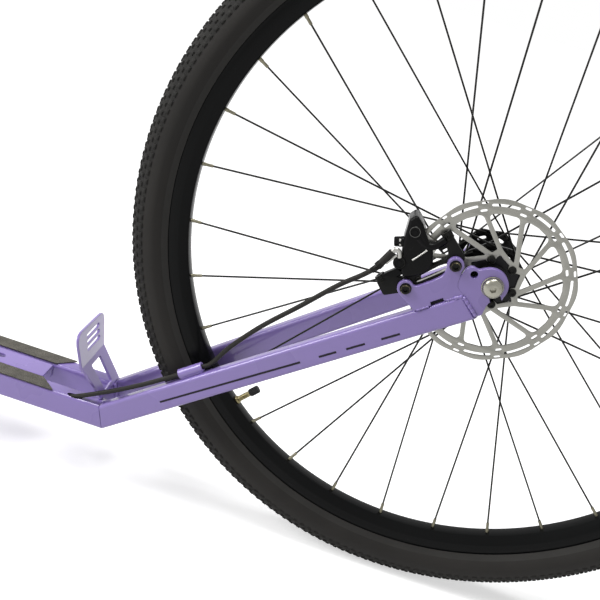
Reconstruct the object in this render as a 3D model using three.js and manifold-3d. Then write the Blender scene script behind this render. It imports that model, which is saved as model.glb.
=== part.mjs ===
// Kick bike: two full-size spoked wheels joined by a low foot deck, with disc brakes and a riser bar.
// Millimetres. +X points to the rear, +Y to the rider's right, +Z up.
// The origin is on the floor, midway between the axles.

import * as THREE from 'three';
import { mergeVertices } from 'three/addons/utils/BufferGeometryUtils.js';
import Module from 'manifold-3d';

const wasm = await Module();
wasm.setup();

const radians = THREE.MathUtils.degToRad;
const v = (x, y, z) => new THREE.Vector3(x, y, z);
const fullTurn = 2 * Math.PI;
const LEFT = -1;
const RIGHT = 1;

// Clearances shared by all pieces
const fitGap = 0.3;
const runGap = 0.1;
const overrun = 30;

// Wheel
const beadRadius = 311;
const tyreHeight = 48;
const tyreWidth = 47;
const rimHalfWidth = 13;
const rimWall = 2;
const rimHookHeight = 9;
const rimFloor = 5;
const rimFloorHalfWidth = 7.5;
const bedThickness = 3.2;
const spokeCount = 32;
const spokeRadius = 1;
const spokeHoleInset = 3.5;
const firstSpokeAngle = radians(166.67);
const spokeCrossings = 3;
const valveAfterSpokes = 5.5;
const valveRadius = 3;
const valveHoleRadius = 3.4;
const valveReach = 21;
const valveFootRadius = 6;
const valveFootThickness = 2.4;

// Hub, axle and rotor
const overLocknut = 100;
const axleRadius = 6;
const capRadius = 9;
const capLength = 6.7;
const endPlay = 0.3;
const barrelRadius = 15;
const flangeRadius = 33;
const flangeThickness = 3.4;
const leftFlangeOffset = 20;
const rightFlangeOffset = 33;
const rightBossRadius = 14;
const rotorOffset = 39.5;
const rotorRadius = 80;
const rotorThickness = 1.8;
const rotorBandWidth = 14;
const rotorBoltCircle = 22;
const rotorBoltCount = 6;
const rotorWaves = 12;
const rotorWaveSteps = 36;
const rotorArmsAngle = radians(83);
const rotorArmsSpread = radians(15.5);
const rotorFootLag = radians(43);
const rotorBoltRadius = 2;
const rotorBoltHeadRadius = 4;
const rotorBoltHeadHeight = 2;
const rotorBoltLength = 8;
const rotorSpigotRadius = 16.7;
const discBossRadius = 26;
const discBossThickness = 3.6;
const lockRingThickness = 0.5;
const axleBoltRadius = 4.8;
const axleBoltDepth = 16;
const axleBoltHeadRadius = 10;
const axleBoltHeadHeight = 8;
const hexSocketRadius = 3.4;
const hexSocketDepth = 4;

// Deck and rear end
const deckHeight = 96;
const railHeight = 26;
const railWidth = 20;
const railGap = 36;
const tubeWall = 2;
const tubeChamfer = 4;
const railBeyondPlate = 75;
const stayRise = radians(38.4);
const stayDrop = 12;
const stayWidth = 14;
const stayEndBack = 28;
const stayEndBevel = 8.5;
const stayEndOuter = 58;
const stayHollowStop = 80;
const dropoutThickness = 6;
const dropoutHookRadius = 17.5;
const dropoutSlotWidth = 10.2;
const dropoutSlotAngle = radians(-57);
const dropoutTailWidth = 18;
const dropoutTailDepth = 30;
const dropoutHornReach = 27.5;
const dropoutHoleRadius = 3.5;
const dropoutHoleReach = 20.5;
const dropoutHoleAngle = radians(163.6);
const deckPlateThickness = 3;
const deckPlateDepth = 16;
const deckPlateAheadOfKink = 76.1;
const deckPlateLength = 340;
const deckSlotWidth = 5;
const deckSlotRearInset = 50;
const deckSlotFrontInset = 30;
const stripThickness = 1.2;
const stripAheadOfKink = 55.1;
const stripRearSlant = 19;
const bridgeThickness = 4;
const bridgeBack = 3;
const guardThickness = 3;
const guardLegHalfWidth = 32;
const guardBendHalfWidth = 34;
const guardTopHalfWidth = 42;
const guardLegLength = 42;
const guardUpperLength = 34;
const guardLegLean = radians(40);
const guardUpperLean = radians(15);
const guardAheadOfKink = 7.1;
const guardWindowHalfWidth = 13;
const guardWindowTop = 8;
const guardWindowHeight = 29;
const guardCornerRadius = 6;

// Front of the frame
const downTubeWidth = 35.4;
const downTubeDepth = 44;
const downTubeFootAhead = 35;
const downTubeFootLift = 2;
const deckToFrontTyre = 196;
const downTubeTyreRoom = 84;
const downTubeBendRise = 81;
const headAngle = radians(72);
const rake = 45;
const crownTyreRoom = 11;
const crownHeight = 25;
const crownHalfWidth = 55;
const crownDepth = 32;
const lowerCupHeight = 14;
const headTubeLength = 140;
const headTubeRadius = 20;
const headTubeBore = 17.5;
const cupSkirt = 10;
const cupRadius = 21;
const steererRadius = 14.3;
const spacerHeight = 25;
const spacerRadius = 17.5;
const stemClampHeight = 42;
const stemClampRadius = 18;
const stemReach = 80;
const stemRise = radians(24);
const stemTubeRadius = 13;
const barClampRadius = 20.5;
const barClampWidth = 46;
const faceplateGap = 1;
const topCapHeight = 5;
const gussetThickness = 8;
const gussetReach = 110;

// Fork
const bladeTopHalfSpan = 43;
const bladeBottomHalfSpan = 53;
const bladeTopRadius = 12;
const bladeBottomRadius = 9;
const bladeEndBack = 28;
const forkSlotAngle = radians(-100);

// Handlebar, grips and levers
const barRadius = 11.1;
const barCentreRadius = 15.9;
const barCentreHalfWidth = 28;
const barTaper = 14;
const barHalfWidth = 306;
const barRise = 44;
const barBack = 40;
const barKnee = 45;
const barShoulderOverlap = 9;
const barShoulderBack = 8;
const barTipRise = 3;
const barBendTrim = 22;
const gripRadius = 16;
const gripLength = 130;
const gripEnd = 4;
const leverBodyGap = 8;
const leverClampWidth = 14;
const leverClampRadius = 16;
const leverForward = 34;
const leverBodyRadius = 8.5;
const leverBodyLength = 62;
const leverPinRadius = 3;
const leverThickness = 10;
const leverBossRadius = 7.5;
const leverLength = 102;
const leverBladeDepth = 11;
const leverTipForward = 12;
const lugThickness = 4;

// Disc brake
const tabThickness = 5;
const tabInner = 50.5;
const tabHeadCircle = 8;
const mountBoltRadius = 2.8;
const mountBoltHeadRadius = 5;
const mountBoltHeadHeight = 5;
const mountSpacing = 51;
const mountBack = 76;
const mountRise = 37;
const mountTilt = radians(6.3);
const adapterInner = 42.2;
const adapterThickness = 8;
const caliperInner = 25;
const caliperOuter = 55;
const padBackThickness = 2;
const padLiningThickness = 2;
const padHeight = 19;
const padHalfAngle = radians(10);
const padCentreAngle = radians(171);
const padOverhang = 1;
const rotorRoom = 1;

// Rear brake hose
const hoseRadius = 2.5;
const hoseBore = 0.5;
const guideRadius = 5.2;
const guideFromKink = 128.2;
const guideLength = 26.5;
const guideInset = 35.7;
const eyeWidth = 9;
const eyeHeight = 12;
const eyeWall = 1.6;

// Counts of sides and steps
const barSteps = 30;
const wheelSides = 32;
const roundSides = 20;
const steererSides = 28;
const handSides = 14;
const smallSides = 10;
const hoseSides = 8;
const boltSides = 6;
const spokeSides = 4;

// Sizes worked out from the ones above
const tyreRadius = beadRadius + tyreHeight;
const axleHeight = tyreRadius;
const deckDrop = axleHeight - deckHeight;
const railCentreDrop = deckDrop + railHeight / 2;

// A place on the chainstay, measured from the rear axle's foot on its centre line
const stayBack = v(-Math.cos(stayRise), 0, -Math.sin(stayRise));
const stayNormal = v(-Math.sin(stayRise), 0, Math.cos(stayRise));
const stayPoint = (back, rise, across = 0) => v(0, across, 0)
  .addScaledVector(stayNormal, rise - stayDrop)
  .addScaledVector(stayBack, back);
const kinkBack = (railCentreDrop - stayDrop * Math.cos(stayRise)) / Math.sin(stayRise);
const kinkCentre = stayPoint(kinkBack, 0);
const guideBack = kinkBack - guideFromKink;

// Reaches ahead of the rear axle
const guardFootReach = guardAheadOfKink - kinkCentre.x;
const stripRearReach = stripAheadOfKink - kinkCentre.x;
const deckPlateRearReach = deckPlateAheadOfKink - kinkCentre.x;
const deckSlotRearReach = deckPlateRearReach + deckSlotRearInset;
const deckPlateFrontReach = deckPlateRearReach + deckPlateLength;
const deckSlotFrontReach = deckPlateFrontReach - deckSlotFrontInset;
const railFrontReach = deckPlateFrontReach + railBeyondPlate;
const wheelbase = deckPlateFrontReach + deckToFrontTyre + tyreRadius;

// Shared places and sizes
const rearAxlePoint = v(wheelbase / 2, 0, axleHeight);
const frontAxlePoint = v(-wheelbase / 2, 0, axleHeight);
const hookRadius = beadRadius + rimHookHeight;
const rimFloorRadius = beadRadius - rimFloor - bedThickness + fitGap;
const bedOuterRadius = rimFloorRadius - fitGap;
const bedInnerRadius = bedOuterRadius - bedThickness;
const rotorInnerFace = rotorOffset - rotorThickness / 2;
const rotorOuterFace = rotorOffset + rotorThickness / 2;
const dropoutInner = overLocknut / 2;
const dropoutOuter = dropoutInner + dropoutThickness;
const hubHalfLength = dropoutInner - fitGap - capLength - endPlay;
const railInner = railGap / 2;
const railOuter = railInner + railWidth;
const stayHalfHeight = railHeight / 2;

// The steering axis, and a place on it or in front of it
const steerUp = v(Math.cos(headAngle), 0, Math.sin(headAngle));
const steerForward = v(-Math.sin(headAngle), 0, Math.cos(headAngle));
const steerFoot = frontAxlePoint.clone().addScaledVector(steerForward, -rake);
const steerPoint = (along, forward = 0, across = 0) => steerFoot.clone()
  .addScaledVector(steerUp, along)
  .addScaledVector(steerForward, forward)
  .add(v(0, across, 0));
const crownBottom = tyreRadius + crownTyreRoom;
const crownRace = crownBottom + crownHeight;
const headBottom = crownRace + fitGap + lowerCupHeight;
const headTop = headBottom + headTubeLength;
const spacerBottom = headTop + lowerCupHeight + fitGap;
const stemBottom = spacerBottom + spacerHeight + fitGap;
const stemTop = stemBottom + stemClampHeight;
const headCentre = steerPoint((headBottom + headTop) / 2);
const downTubeFoot = v(rearAxlePoint.x - deckPlateFrontReach - downTubeFootAhead, 0,
  deckHeight - railHeight + downTubeFootLift);
const downTubeBend = frontAxlePoint.clone().add(v(tyreRadius + downTubeTyreRoom, 0, downTubeBendRise));
const barShoulder = barHalfWidth - gripLength - leverBodyGap - leverBodyLength + barShoulderOverlap;
const barCentre = steerPoint((stemBottom + stemTop) / 2)
  .add(v(-stemReach * Math.cos(stemRise), 0, stemReach * Math.sin(stemRise)));

// How far out the chainstay's centre line is
const stayCentre = (back) => stayEndOuter - stayWidth / 2
  - (back - stayEndBack) / (kinkBack - stayEndBack) * (stayEndOuter - railOuter);

// Closed solids from three.js geometry, and back

function toSolid(geometry) {
  const bare = geometry.clone();
  bare.deleteAttribute('normal');
  bare.deleteAttribute('uv');
  const merged = mergeVertices(bare);
  const places = merged.attributes.position;
  const corners = [];
  let volume = 0;
  for (let i = 0; i < merged.index.count; i += 3) {
    const [a, b, c] = [0, 1, 2].map((step) => merged.index.getX(i + step));
    if (a !== b && b !== c && c !== a) {
      corners.push(a, b, c);
      const [p, q, r] = [a, b, c].map((corner) => v().fromBufferAttribute(places, corner));
      volume += p.dot(q.cross(r));
    }
  }
  if (volume < 0) corners.reverse();
  return new wasm.Manifold(new wasm.Mesh({
    numProp: 3,
    vertProperties: new Float32Array(places.array),
    triVerts: new Uint32Array(corners),
  }));
}

function toGeometry(solid) {
  const mesh = solid.getMesh();
  const geometry = new THREE.BufferGeometry();
  geometry.setAttribute('position', new THREE.BufferAttribute(mesh.vertProperties, 3));
  geometry.setIndex(new THREE.BufferAttribute(mesh.triVerts, 1));
  geometry.computeVertexNormals();
  return geometry;
}

const join = (solids) => solids.reduce((whole, solid) => whole.add(solid));
const cut = (solid, tools) => tools.reduce((whole, tool) => whole.subtract(tool), solid);

// An outline pushed through a thickness: drawn in the plane of two directions from an origin
function plate(outline, thickness, origin, right, up, holes = []) {
  const shape = new THREE.Shape(outline.map(([x, y]) => new THREE.Vector2(x, y)));
  for (const hole of holes) {
    shape.holes.push(new THREE.Path(hole.map(([x, y]) => new THREE.Vector2(x, y))));
  }
  const geometry = new THREE.ExtrudeGeometry(shape, { depth: thickness, bevelEnabled: false });
  const place = new THREE.Matrix4().makeBasis(right, up, right.clone().cross(up));
  place.setPosition(origin);
  geometry.applyMatrix4(place);
  return toSolid(geometry);
}

const xDirection = v(1, 0, 0);
const yDirection = v(0, 1, 0);
const zDirection = v(0, 0, 1);

// A plate drawn in X and Z, between two places across the bike
const sidePlate = (outline, low, high, holes = []) => plate(
  outline, high - low, v(0, high, 0), xDirection, zDirection, holes);

// A plate drawn in X and Y, between two heights
const flatPlate = (outline, low, high, holes = []) => plate(
  outline, high - low, v(0, 0, low), xDirection, yDirection, holes);

const rectangle = (x0, y0, x1, y1) => [[x0, y0], [x1, y0], [x1, y1], [x0, y1]];

function arc(x, y, radius, start, end, steps) {
  const turn = (end - start) / steps;
  return Array.from({ length: steps + 1 }, (_, i) => [
    x + radius * Math.cos(start + i * turn),
    y + radius * Math.sin(start + i * turn),
  ]);
}

const circle = (x, y, radius, sides) => arc(x, y, radius, 0, fullTurn, sides).slice(0, sides);

function slot(x0, y0, x1, y1, radius, steps) {
  const heading = Math.atan2(y1 - y0, x1 - x0);
  const quarter = Math.PI / 2;
  return [
    ...arc(x1, y1, radius, heading - quarter, heading + quarter, steps),
    ...arc(x0, y0, radius, heading + quarter, heading + 3 * quarter, steps),
  ];
}

function rod(from, to, radius, sides = roundSides, endRadius = radius) {
  const length = from.distanceTo(to);
  const geometry = new THREE.CylinderGeometry(endRadius, radius, length, sides);
  geometry.translate(0, length / 2, 0);
  const heading = to.clone().sub(from).normalize();
  geometry.applyQuaternion(new THREE.Quaternion().setFromUnitVectors(yDirection, heading));
  geometry.translate(from.x, from.y, from.z);
  return toSolid(geometry);
}

// A profile of radius and place along Y, turned about the Y axis
function turned(profile, sides) {
  const points = profile.map(([radius, along]) => new THREE.Vector2(radius, along));
  return toSolid(new THREE.LatheGeometry(points, sides));
}

const turnedRing = (profile, sides) => turned([...profile, profile[0]], sides);

function sweep(path, radius, sides, steps) {
  const section = new THREE.Shape(circle(0, 0, radius, sides).map(([x, y]) => new THREE.Vector2(x, y)));
  return toSolid(new THREE.ExtrudeGeometry(section, { steps, extrudePath: path, bevelEnabled: false }));
}

const curveThrough = (places) => new THREE.CatmullRomCurve3(places, false, 'centripetal');

// A box section with cut corners, as the eight points round a centre
function boxSection(centre, across, up, width, height, chamfer) {
  const halfWidth = width / 2;
  const halfHeight = height / 2;
  const corners = [
    [halfWidth, halfHeight - chamfer], [halfWidth - chamfer, halfHeight],
    [chamfer - halfWidth, halfHeight], [-halfWidth, halfHeight - chamfer],
    [-halfWidth, chamfer - halfHeight], [chamfer - halfWidth, -halfHeight],
    [halfWidth - chamfer, -halfHeight], [halfWidth, chamfer - halfHeight],
  ];
  return corners.map(([side, rise]) => centre.clone()
    .addScaledVector(across, side)
    .addScaledVector(up, rise));
}

// A closed skin through a row of sections with as many points each
function loft(sections) {
  const count = sections[0].length;
  const places = sections.flat().flatMap((point) => point.toArray());
  const faces = [];
  for (let row = 0; row < sections.length - 1; row += 1) {
    for (let i = 0; i < count; i += 1) {
      const a = row * count + i;
      const b = row * count + (i + 1) % count;
      faces.push(a, b, a + count, b, b + count, a + count);
    }
  }
  const last = (sections.length - 1) * count;
  for (let i = 1; i < count - 1; i += 1) {
    faces.push(0, i + 1, i);
    faces.push(last, last + i, last + i + 1);
  }
  const geometry = new THREE.BufferGeometry();
  geometry.setAttribute('position', new THREE.Float32BufferAttribute(places, 3));
  geometry.setIndex(faces);
  return toSolid(geometry);
}

// The direction across a beam at the mitre between two headings, in the XZ plane
function mitre(before, after) {
  const along = before.clone().add(after).normalize();
  const up = v(-along.z, 0, along.x);
  return up.divideScalar(along.dot(before));
}

// Finishes

const finishes = {
  tyre: { color: 0x2f2d2b, roughness: 0.85, metalness: 0 },
  rim: { color: 0x232323, roughness: 0.4, metalness: 0.6 },
  spokes: { color: 0x1b1b1b, roughness: 0.4, metalness: 0.7 },
  brass: { color: 0x9a8350, roughness: 0.35, metalness: 1 },
  black: { color: 0x1c1c1d, roughness: 0.45, metalness: 0.5 },
  steel: { color: 0x9a9a92, roughness: 0.3, metalness: 1 },
  bolt: { color: 0xb9b9b6, roughness: 0.3, metalness: 1 },
  frame: { color: 0x8a76b6, roughness: 0.35, metalness: 0.2 },
  strip: { color: 0x6c6a62, roughness: 0.95, metalness: 0 },
  rubber: { color: 0x1a1a1a, roughness: 0.8, metalness: 0 },
  lining: { color: 0x4a3f38, roughness: 0.8, metalness: 0.2 },
};

function addPiece(group, name, solid, finish) {
  const mesh = new THREE.Mesh(toGeometry(solid), new THREE.MeshStandardMaterial(finish));
  mesh.name = name;
  group.add(mesh);
}

// Wheel pieces, round an axle along Y through the origin

// The carcass outside and inside, as shares of the height above the bead and of the half width
const tyreOutsideShares = [[0.28, 0.7], [0.55, 1], [0.86, 0.8], [1, 0.2]];
const tyreInsideShares = [[0.88, 0.18], [0.6, 0.84]];

function tyre() {
  const place = ([heightShare, widthShare]) => [
    beadRadius + tyreHeight * heightShare, tyreWidth / 2 * widthShare];
  const bead = rimHalfWidth - rimWall - fitGap;
  const toe = bead - rimWall;
  const half = [
    [beadRadius + fitGap, toe],
    [beadRadius + fitGap, bead],
    [hookRadius + fitGap, bead],
    ...tyreOutsideShares.map(place),
  ];
  const inside = [...tyreInsideShares.map(place), [hookRadius, toe]];
  const mirrored = (points) => points.map(([radius, across]) => [radius, -across]).reverse();
  return turnedRing([...half, ...mirrored(half), ...mirrored(inside), ...inside], wheelSides);
}

function valvePlace(radius) {
  const angle = firstSpokeAngle + valveAfterSpokes / spokeCount * fullTurn;
  return v(radius * Math.cos(angle), 0, radius * Math.sin(angle));
}

const valveHole = () => rod(valvePlace(bedInnerRadius - overrun), valvePlace(hookRadius),
  valveHoleRadius, smallSides);

function rim() {
  const floorTop = rimFloorRadius + rimFloor;
  const inner = rimHalfWidth - rimWall;
  const half = [
    [rimFloorRadius, rimFloorHalfWidth],
    [rimFloorRadius + rimFloor, rimHalfWidth],
    [hookRadius, rimHalfWidth],
    [hookRadius, inner],
    [beadRadius, inner],
    [floorTop, inner - rimWall],
  ];
  const ring = turnedRing([...half.map(([r, y]) => [r, -y]).reverse(), ...half], wheelSides);
  return cut(ring, [valveHole()]);
}

// Crossed lacing: each spoke leaves its flange some way round from its rim hole
function spokes() {
  const crossing = spokeCrossings / (spokeCount / 2) * fullTurn;
  const bed = turnedRing([
    [bedInnerRadius, -rimFloorHalfWidth], [bedInnerRadius, rimFloorHalfWidth],
    [bedOuterRadius, rimFloorHalfWidth], [bedOuterRadius, -rimFloorHalfWidth],
  ], wheelSides);
  const circleRadius = flangeRadius - spokeHoleInset;
  const taper = (spokeHoleInset + spokeRadius) / (flangeRadius - barrelRadius);
  const faceShift = flangeThickness * (0.5 + taper) + 2 * spokeRadius + fitGap;
  const wires = Array.from({ length: spokeCount }, (_, i) => {
    const rimAngle = firstSpokeAngle + i / spokeCount * fullTurn;
    const leading = i % 4 < 2 ? -1 : 1;
    const hubAngle = rimAngle + leading * crossing;
    const flange = i % 2 ? rightFlangeOffset : -leftFlangeOffset;
    const atHub = v(circleRadius * Math.cos(hubAngle), flange + leading * faceShift,
      circleRadius * Math.sin(hubAngle));
    const middle = (bedInnerRadius + bedOuterRadius) / 2;
    const atRim = v(middle * Math.cos(rimAngle), 0, middle * Math.sin(rimAngle));
    return rod(atHub, atRim, spokeRadius, spokeSides);
  });
  return cut(join([bed, ...wires]), [valveHole()]);
}

function valve() {
  const seat = rimFloorRadius + rimFloor + fitGap;
  const stem = rod(valvePlace(bedInnerRadius - valveReach), valvePlace(seat + valveFootThickness),
    valveRadius, smallSides);
  const foot = rod(valvePlace(seat), valvePlace(seat + valveFootThickness), valveFootRadius, smallSides);
  return stem.add(foot);
}

const turnedAbout = (angle, radius) => [radius * Math.cos(angle), radius * Math.sin(angle)];

function boltPlaces() {
  return Array.from({ length: rotorBoltCount }, (_, i) => turnedAbout(
    i / rotorBoltCount * fullTurn, rotorBoltCircle));
}

function hub() {
  const half = flangeThickness / 2;
  const bossFace = -rotorInnerFace + fitGap;
  const bore = axleRadius + runGap;
  const body = turnedRing([
    [bore, -hubHalfLength],
    [rotorSpigotRadius, -hubHalfLength],
    [rotorSpigotRadius, bossFace],
    [discBossRadius, bossFace],
    [discBossRadius, bossFace + discBossThickness],
    [barrelRadius, bossFace + 2 * discBossThickness],
    [barrelRadius, -leftFlangeOffset - 3 * half],
    [flangeRadius, -leftFlangeOffset - half],
    [flangeRadius, -leftFlangeOffset + half],
    [barrelRadius, -leftFlangeOffset + 3 * half],
    [barrelRadius, rightFlangeOffset - 3 * half],
    [flangeRadius, rightFlangeOffset - half],
    [flangeRadius, rightFlangeOffset + half],
    [rightBossRadius, rightFlangeOffset + 3 * half],
    [rightBossRadius, hubHalfLength],
    [bore, hubHalfLength],
  ], roundSides);
  const boltHoles = boltPlaces().map(([x, z]) => rod(v(x, bossFace - overrun, z),
    v(x, rotorBoltLength - rotorInnerFace + fitGap, z), rotorBoltRadius + fitGap, boltSides));
  return cut(body, boltHoles);
}

// The rotor's arms come in pairs that share a foot and lean with the turning wheel
function rotor() {
  const waveDepth = rotorBandWidth / 10;
  const outline = Array.from({ length: rotorWaveSteps }, (_, i) => {
    const angle = i / rotorWaveSteps * fullTurn;
    return turnedAbout(angle, rotorRadius - waveDepth / 2 * (1 - Math.cos(rotorWaves * angle)));
  });
  const bandInner = rotorRadius - rotorBandWidth;
  const faces = [-rotorOuterFace, -rotorInnerFace];
  const band = sidePlate(outline, ...faces, [circle(0, 0, bandInner, roundSides)]);
  const ringInner = rotorSpigotRadius + 2 * fitGap;
  const core = sidePlate(circle(0, 0, discBossRadius + fitGap, handSides), ...faces,
    [circle(0, 0, ringInner, handSides)]);
  const armHalfWidth = rotorBandWidth / 6;
  const arms = Array.from({ length: rotorBoltCount }, (_, i) => [LEFT, RIGHT].map((side) => {
    const middle = rotorArmsAngle + i / rotorBoltCount * fullTurn;
    const [x0, z0] = turnedAbout(middle - rotorFootLag, discBossRadius - armHalfWidth);
    const [x1, z1] = turnedAbout(middle + side * rotorArmsSpread, bandInner + armHalfWidth);
    const length = Math.hypot(x1 - x0, z1 - z0);
    const [dx, dz] = [(z0 - z1) / length * armHalfWidth, (x1 - x0) / length * armHalfWidth];
    return sidePlate([[x0 - dx, z0 - dz], [x1 - dx, z1 - dz], [x1 + dx, z1 + dz], [x0 + dx, z0 + dz]],
      ...faces);
  })).flat();
  const boltHoles = boltPlaces().map(([x, z]) => rod(v(x, -rotorOuterFace - overrun, z), v(x, 0, z),
    rotorBoltRadius + fitGap, boltSides));
  return cut(join([band, core, ...arms]), boltHoles);
}

function rotorBolts() {
  const seat = -rotorOuterFace - fitGap;
  const ringHalf = rotorBoltHeadRadius - rotorBoltRadius;
  const ring = turnedRing([
    [rotorBoltCircle - ringHalf, seat - lockRingThickness],
    [rotorBoltCircle + ringHalf, seat - lockRingThickness],
    [rotorBoltCircle + ringHalf, seat], [rotorBoltCircle - ringHalf, seat],
  ], handSides);
  const bolts = boltPlaces().flatMap(([x, z]) => [
    rod(v(x, seat - lockRingThickness - rotorBoltHeadHeight, z), v(x, seat, z), rotorBoltHeadRadius,
      boltSides),
    rod(v(x, seat, z), v(x, rotorBoltLength - rotorInnerFace, z), rotorBoltRadius, boltSides),
  ]);
  return join([ring, ...bolts]);
}

function axle() {
  const end = dropoutInner - fitGap;
  const bar = turned([
    [0, -end], [capRadius, -end], [capRadius, capLength - end], [axleRadius, capLength - end],
    [axleRadius, end - capLength], [capRadius, end - capLength], [capRadius, end], [0, end],
  ], roundSides);
  const thread = [LEFT, RIGHT].map((side) => rod(v(0, side * (end + overrun), 0),
    v(0, side * (end - axleBoltDepth - fitGap), 0), axleBoltRadius + fitGap, handSides));
  return cut(bar, thread);
}

function axleBolt(side) {
  const seat = dropoutOuter + fitGap;
  const shank = rod(v(0, side * (dropoutInner - axleBoltDepth), 0), v(0, side * seat, 0), axleBoltRadius,
    handSides);
  const collar = axleBoltHeadHeight / 3;
  const domeSteps = 3;
  const dome = Array.from({ length: domeSteps }, (_, i) => {
    const rise = i / domeSteps * Math.PI / 2;
    return [axleBoltHeadRadius * Math.cos(rise), collar + (axleBoltHeadHeight - collar) * Math.sin(rise)];
  });
  const profile = [[0, 0], [axleBoltHeadRadius, 0], ...dome, [0, axleBoltHeadHeight]];
  const head = turned(profile.map(([radius, along]) => [radius, side * (seat + along)]), handSides);
  const top = seat + axleBoltHeadHeight;
  const socket = rod(v(0, side * (top - hexSocketDepth), 0), v(0, side * (top + overrun), 0),
    hexSocketRadius, boltSides);
  return cut(shank.add(head), [socket]);
}

function addWheel(group, prefix) {
  addPiece(group, `${prefix}_tyre`, tyre(), finishes.tyre);
  addPiece(group, `${prefix}_rim`, rim(), finishes.rim);
  addPiece(group, `${prefix}_spokes`, spokes(), finishes.spokes);
  addPiece(group, `${prefix}_valve`, valve(), finishes.brass);
  addPiece(group, `${prefix}_hub`, hub(), finishes.black);
  addPiece(group, `${prefix}_rotor`, rotor(), finishes.steel);
  addPiece(group, `${prefix}_rotor_bolts`, rotorBolts(), finishes.black);
}

// Disc brake, on the left of a hub at the origin, as it sits over the rear stay

const frontMountBack = mountBack - mountSpacing * Math.cos(mountTilt);
const frontMountRise = mountRise + mountSpacing * Math.sin(mountTilt);
const mountPlaces = [stayPoint(mountBack, mountRise), stayPoint(frontMountBack, frontMountRise)];

function mountBolt(place) {
  const head = -tabInner - tabThickness - fitGap;
  const shank = rod(v(place.x, head, place.z), v(place.x, -adapterInner, place.z), mountBoltRadius,
    smallSides);
  const cap = rod(v(place.x, head - mountBoltHeadHeight, place.z), v(place.x, head, place.z),
    mountBoltHeadRadius, smallSides);
  const socket = rod(v(place.x, head - mountBoltHeadHeight - overrun, place.z),
    v(place.x, head - mountBoltHeadHeight / 2, place.z), mountBoltRadius, boltSides);
  return cut(shank.add(cap), [socket]);
}

const mountHoles = () => mountPlaces.map((place) => rod(v(place.x, -tabInner - overrun, place.z),
  v(place.x, 0, place.z), mountBoltRadius + fitGap, smallSides));

// The tab stands on the stay: a foot with a relief slot, and a round lobe at each bolt
function tabPlate(footRise) {
  const inPlane = (back, rise) => {
    const place = stayPoint(back, rise);
    return [place.x, place.z];
  };
  const relief = mountSpacing / 4;
  const [rear, front] = mountPlaces;
  const across = Math.atan2(front.z - rear.z, front.x - rear.x);
  const upper = across + Math.PI / 2;
  return [
    inPlane(mountBack, footRise),
    inPlane(mountBack - mountSpacing / 3, footRise),
    inPlane(mountBack - mountSpacing / 3, footRise + relief / 2),
    inPlane(mountBack - mountSpacing / 3 - relief, footRise + relief / 2),
    inPlane(mountBack - mountSpacing / 3 - relief, footRise),
    inPlane(frontMountBack, footRise),
    inPlane(frontMountBack + relief / 3, frontMountRise - tabHeadCircle * 2),
    ...arc(front.x, front.z, tabHeadCircle, upper - radians(125), upper, 6),
    ...arc(rear.x, rear.z, tabHeadCircle, upper, upper + radians(110), 5),
  ];
}

function caliperTab() {
  const outline = tabPlate(stayHalfHeight + fitGap);
  return cut(sidePlate(outline, -tabInner - tabThickness, -tabInner), mountHoles());
}

// Outlines of the adapter and the caliper body, as shares of the rotor's radius
const adapterShares = [
  [-1.288, -0.4], [-1.15, -0.538], [-1, -0.45], [-0.868, -0.415], [-0.415, 0.033], [-0.385, 0.113],
  [-0.413, 0.225], [-0.619, 0.4], [-0.705, 0.338], [-0.6, 0.19], [-0.6, 0.131], [-1.009, -0.26],
  [-1.088, -0.265], [-1.188, -0.288],
];
const caliperShares = [
  [-1.098, 0.533], [-1.165, 0.445], [-1.15, 0.2], [-1.115, 0], [-1.05, -0.2], [-0.985, -0.24],
  [-0.785, -0.114], [-0.73, 0.024], [-0.751, 0.179], [-0.876, 0.314], [-0.998, 0.44],
];
const earShares = [
  [[-1.004, -0.2], [-1.1, -0.16], [-1.27, -0.32], [-1.19, -0.4]],
  [[-0.9, 0.2], [-0.75, 0.1], [-0.6, 0.36], [-0.69, 0.44], [-0.96, 0.4]],
];
const ofRotor = (shares) => shares.map(([x, z]) => [x * rotorRadius, z * rotorRadius]);

// An outline grown by a distance, each corner moved out along its two sides
function grown(outline, distance) {
  const area = outline.reduce((sum, [x, y], i) => {
    const [nextX, nextY] = outline[(i + 1) % outline.length];
    return sum + x * nextY - nextX * y;
  }, 0);
  const sign = Math.sign(area);
  const normals = outline.map(([x, y], i) => {
    const [nextX, nextY] = outline[(i + 1) % outline.length];
    const length = Math.hypot(nextX - x, nextY - y);
    return [sign * (nextY - y) / length, sign * (x - nextX) / length];
  });
  return outline.map(([x, y], i) => {
    const [ax, ay] = normals[(i + outline.length - 1) % outline.length];
    const [bx, by] = normals[i];
    const scale = distance / (1 + ax * bx + ay * by);
    return [x + (ax + bx) * scale, y + (ay + by) * scale];
  });
}

function adapter() {
  const body = sidePlate(ofRotor(adapterShares), -adapterInner - adapterThickness, -adapterInner);
  return cut(body, mountHoles());
}

// A pad: a steel back with its lining towards the rotor
function padOutline(margin) {
  const inner = rotorRadius - padHeight - margin;
  const outer = rotorRadius + margin;
  const spread = padHalfAngle + margin / rotorRadius;
  return [
    ...arc(0, 0, outer, padCentreAngle - spread, padCentreAngle + spread, 3),
    ...arc(0, 0, inner, padCentreAngle + spread, padCentreAngle - spread, 2),
  ];
}

function pad(side) {
  const face = side * (rotorThickness / 2 + fitGap) - rotorOffset;
  const seam = face + side * padLiningThickness;
  const back = seam + side * padBackThickness;
  const between = (a, b) => [Math.min(a, b), Math.max(a, b)];
  const lining = sidePlate(padOutline(-padOverhang), ...between(face, seam));
  return lining.add(sidePlate(padOutline(0), ...between(seam, back)));
}

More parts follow.
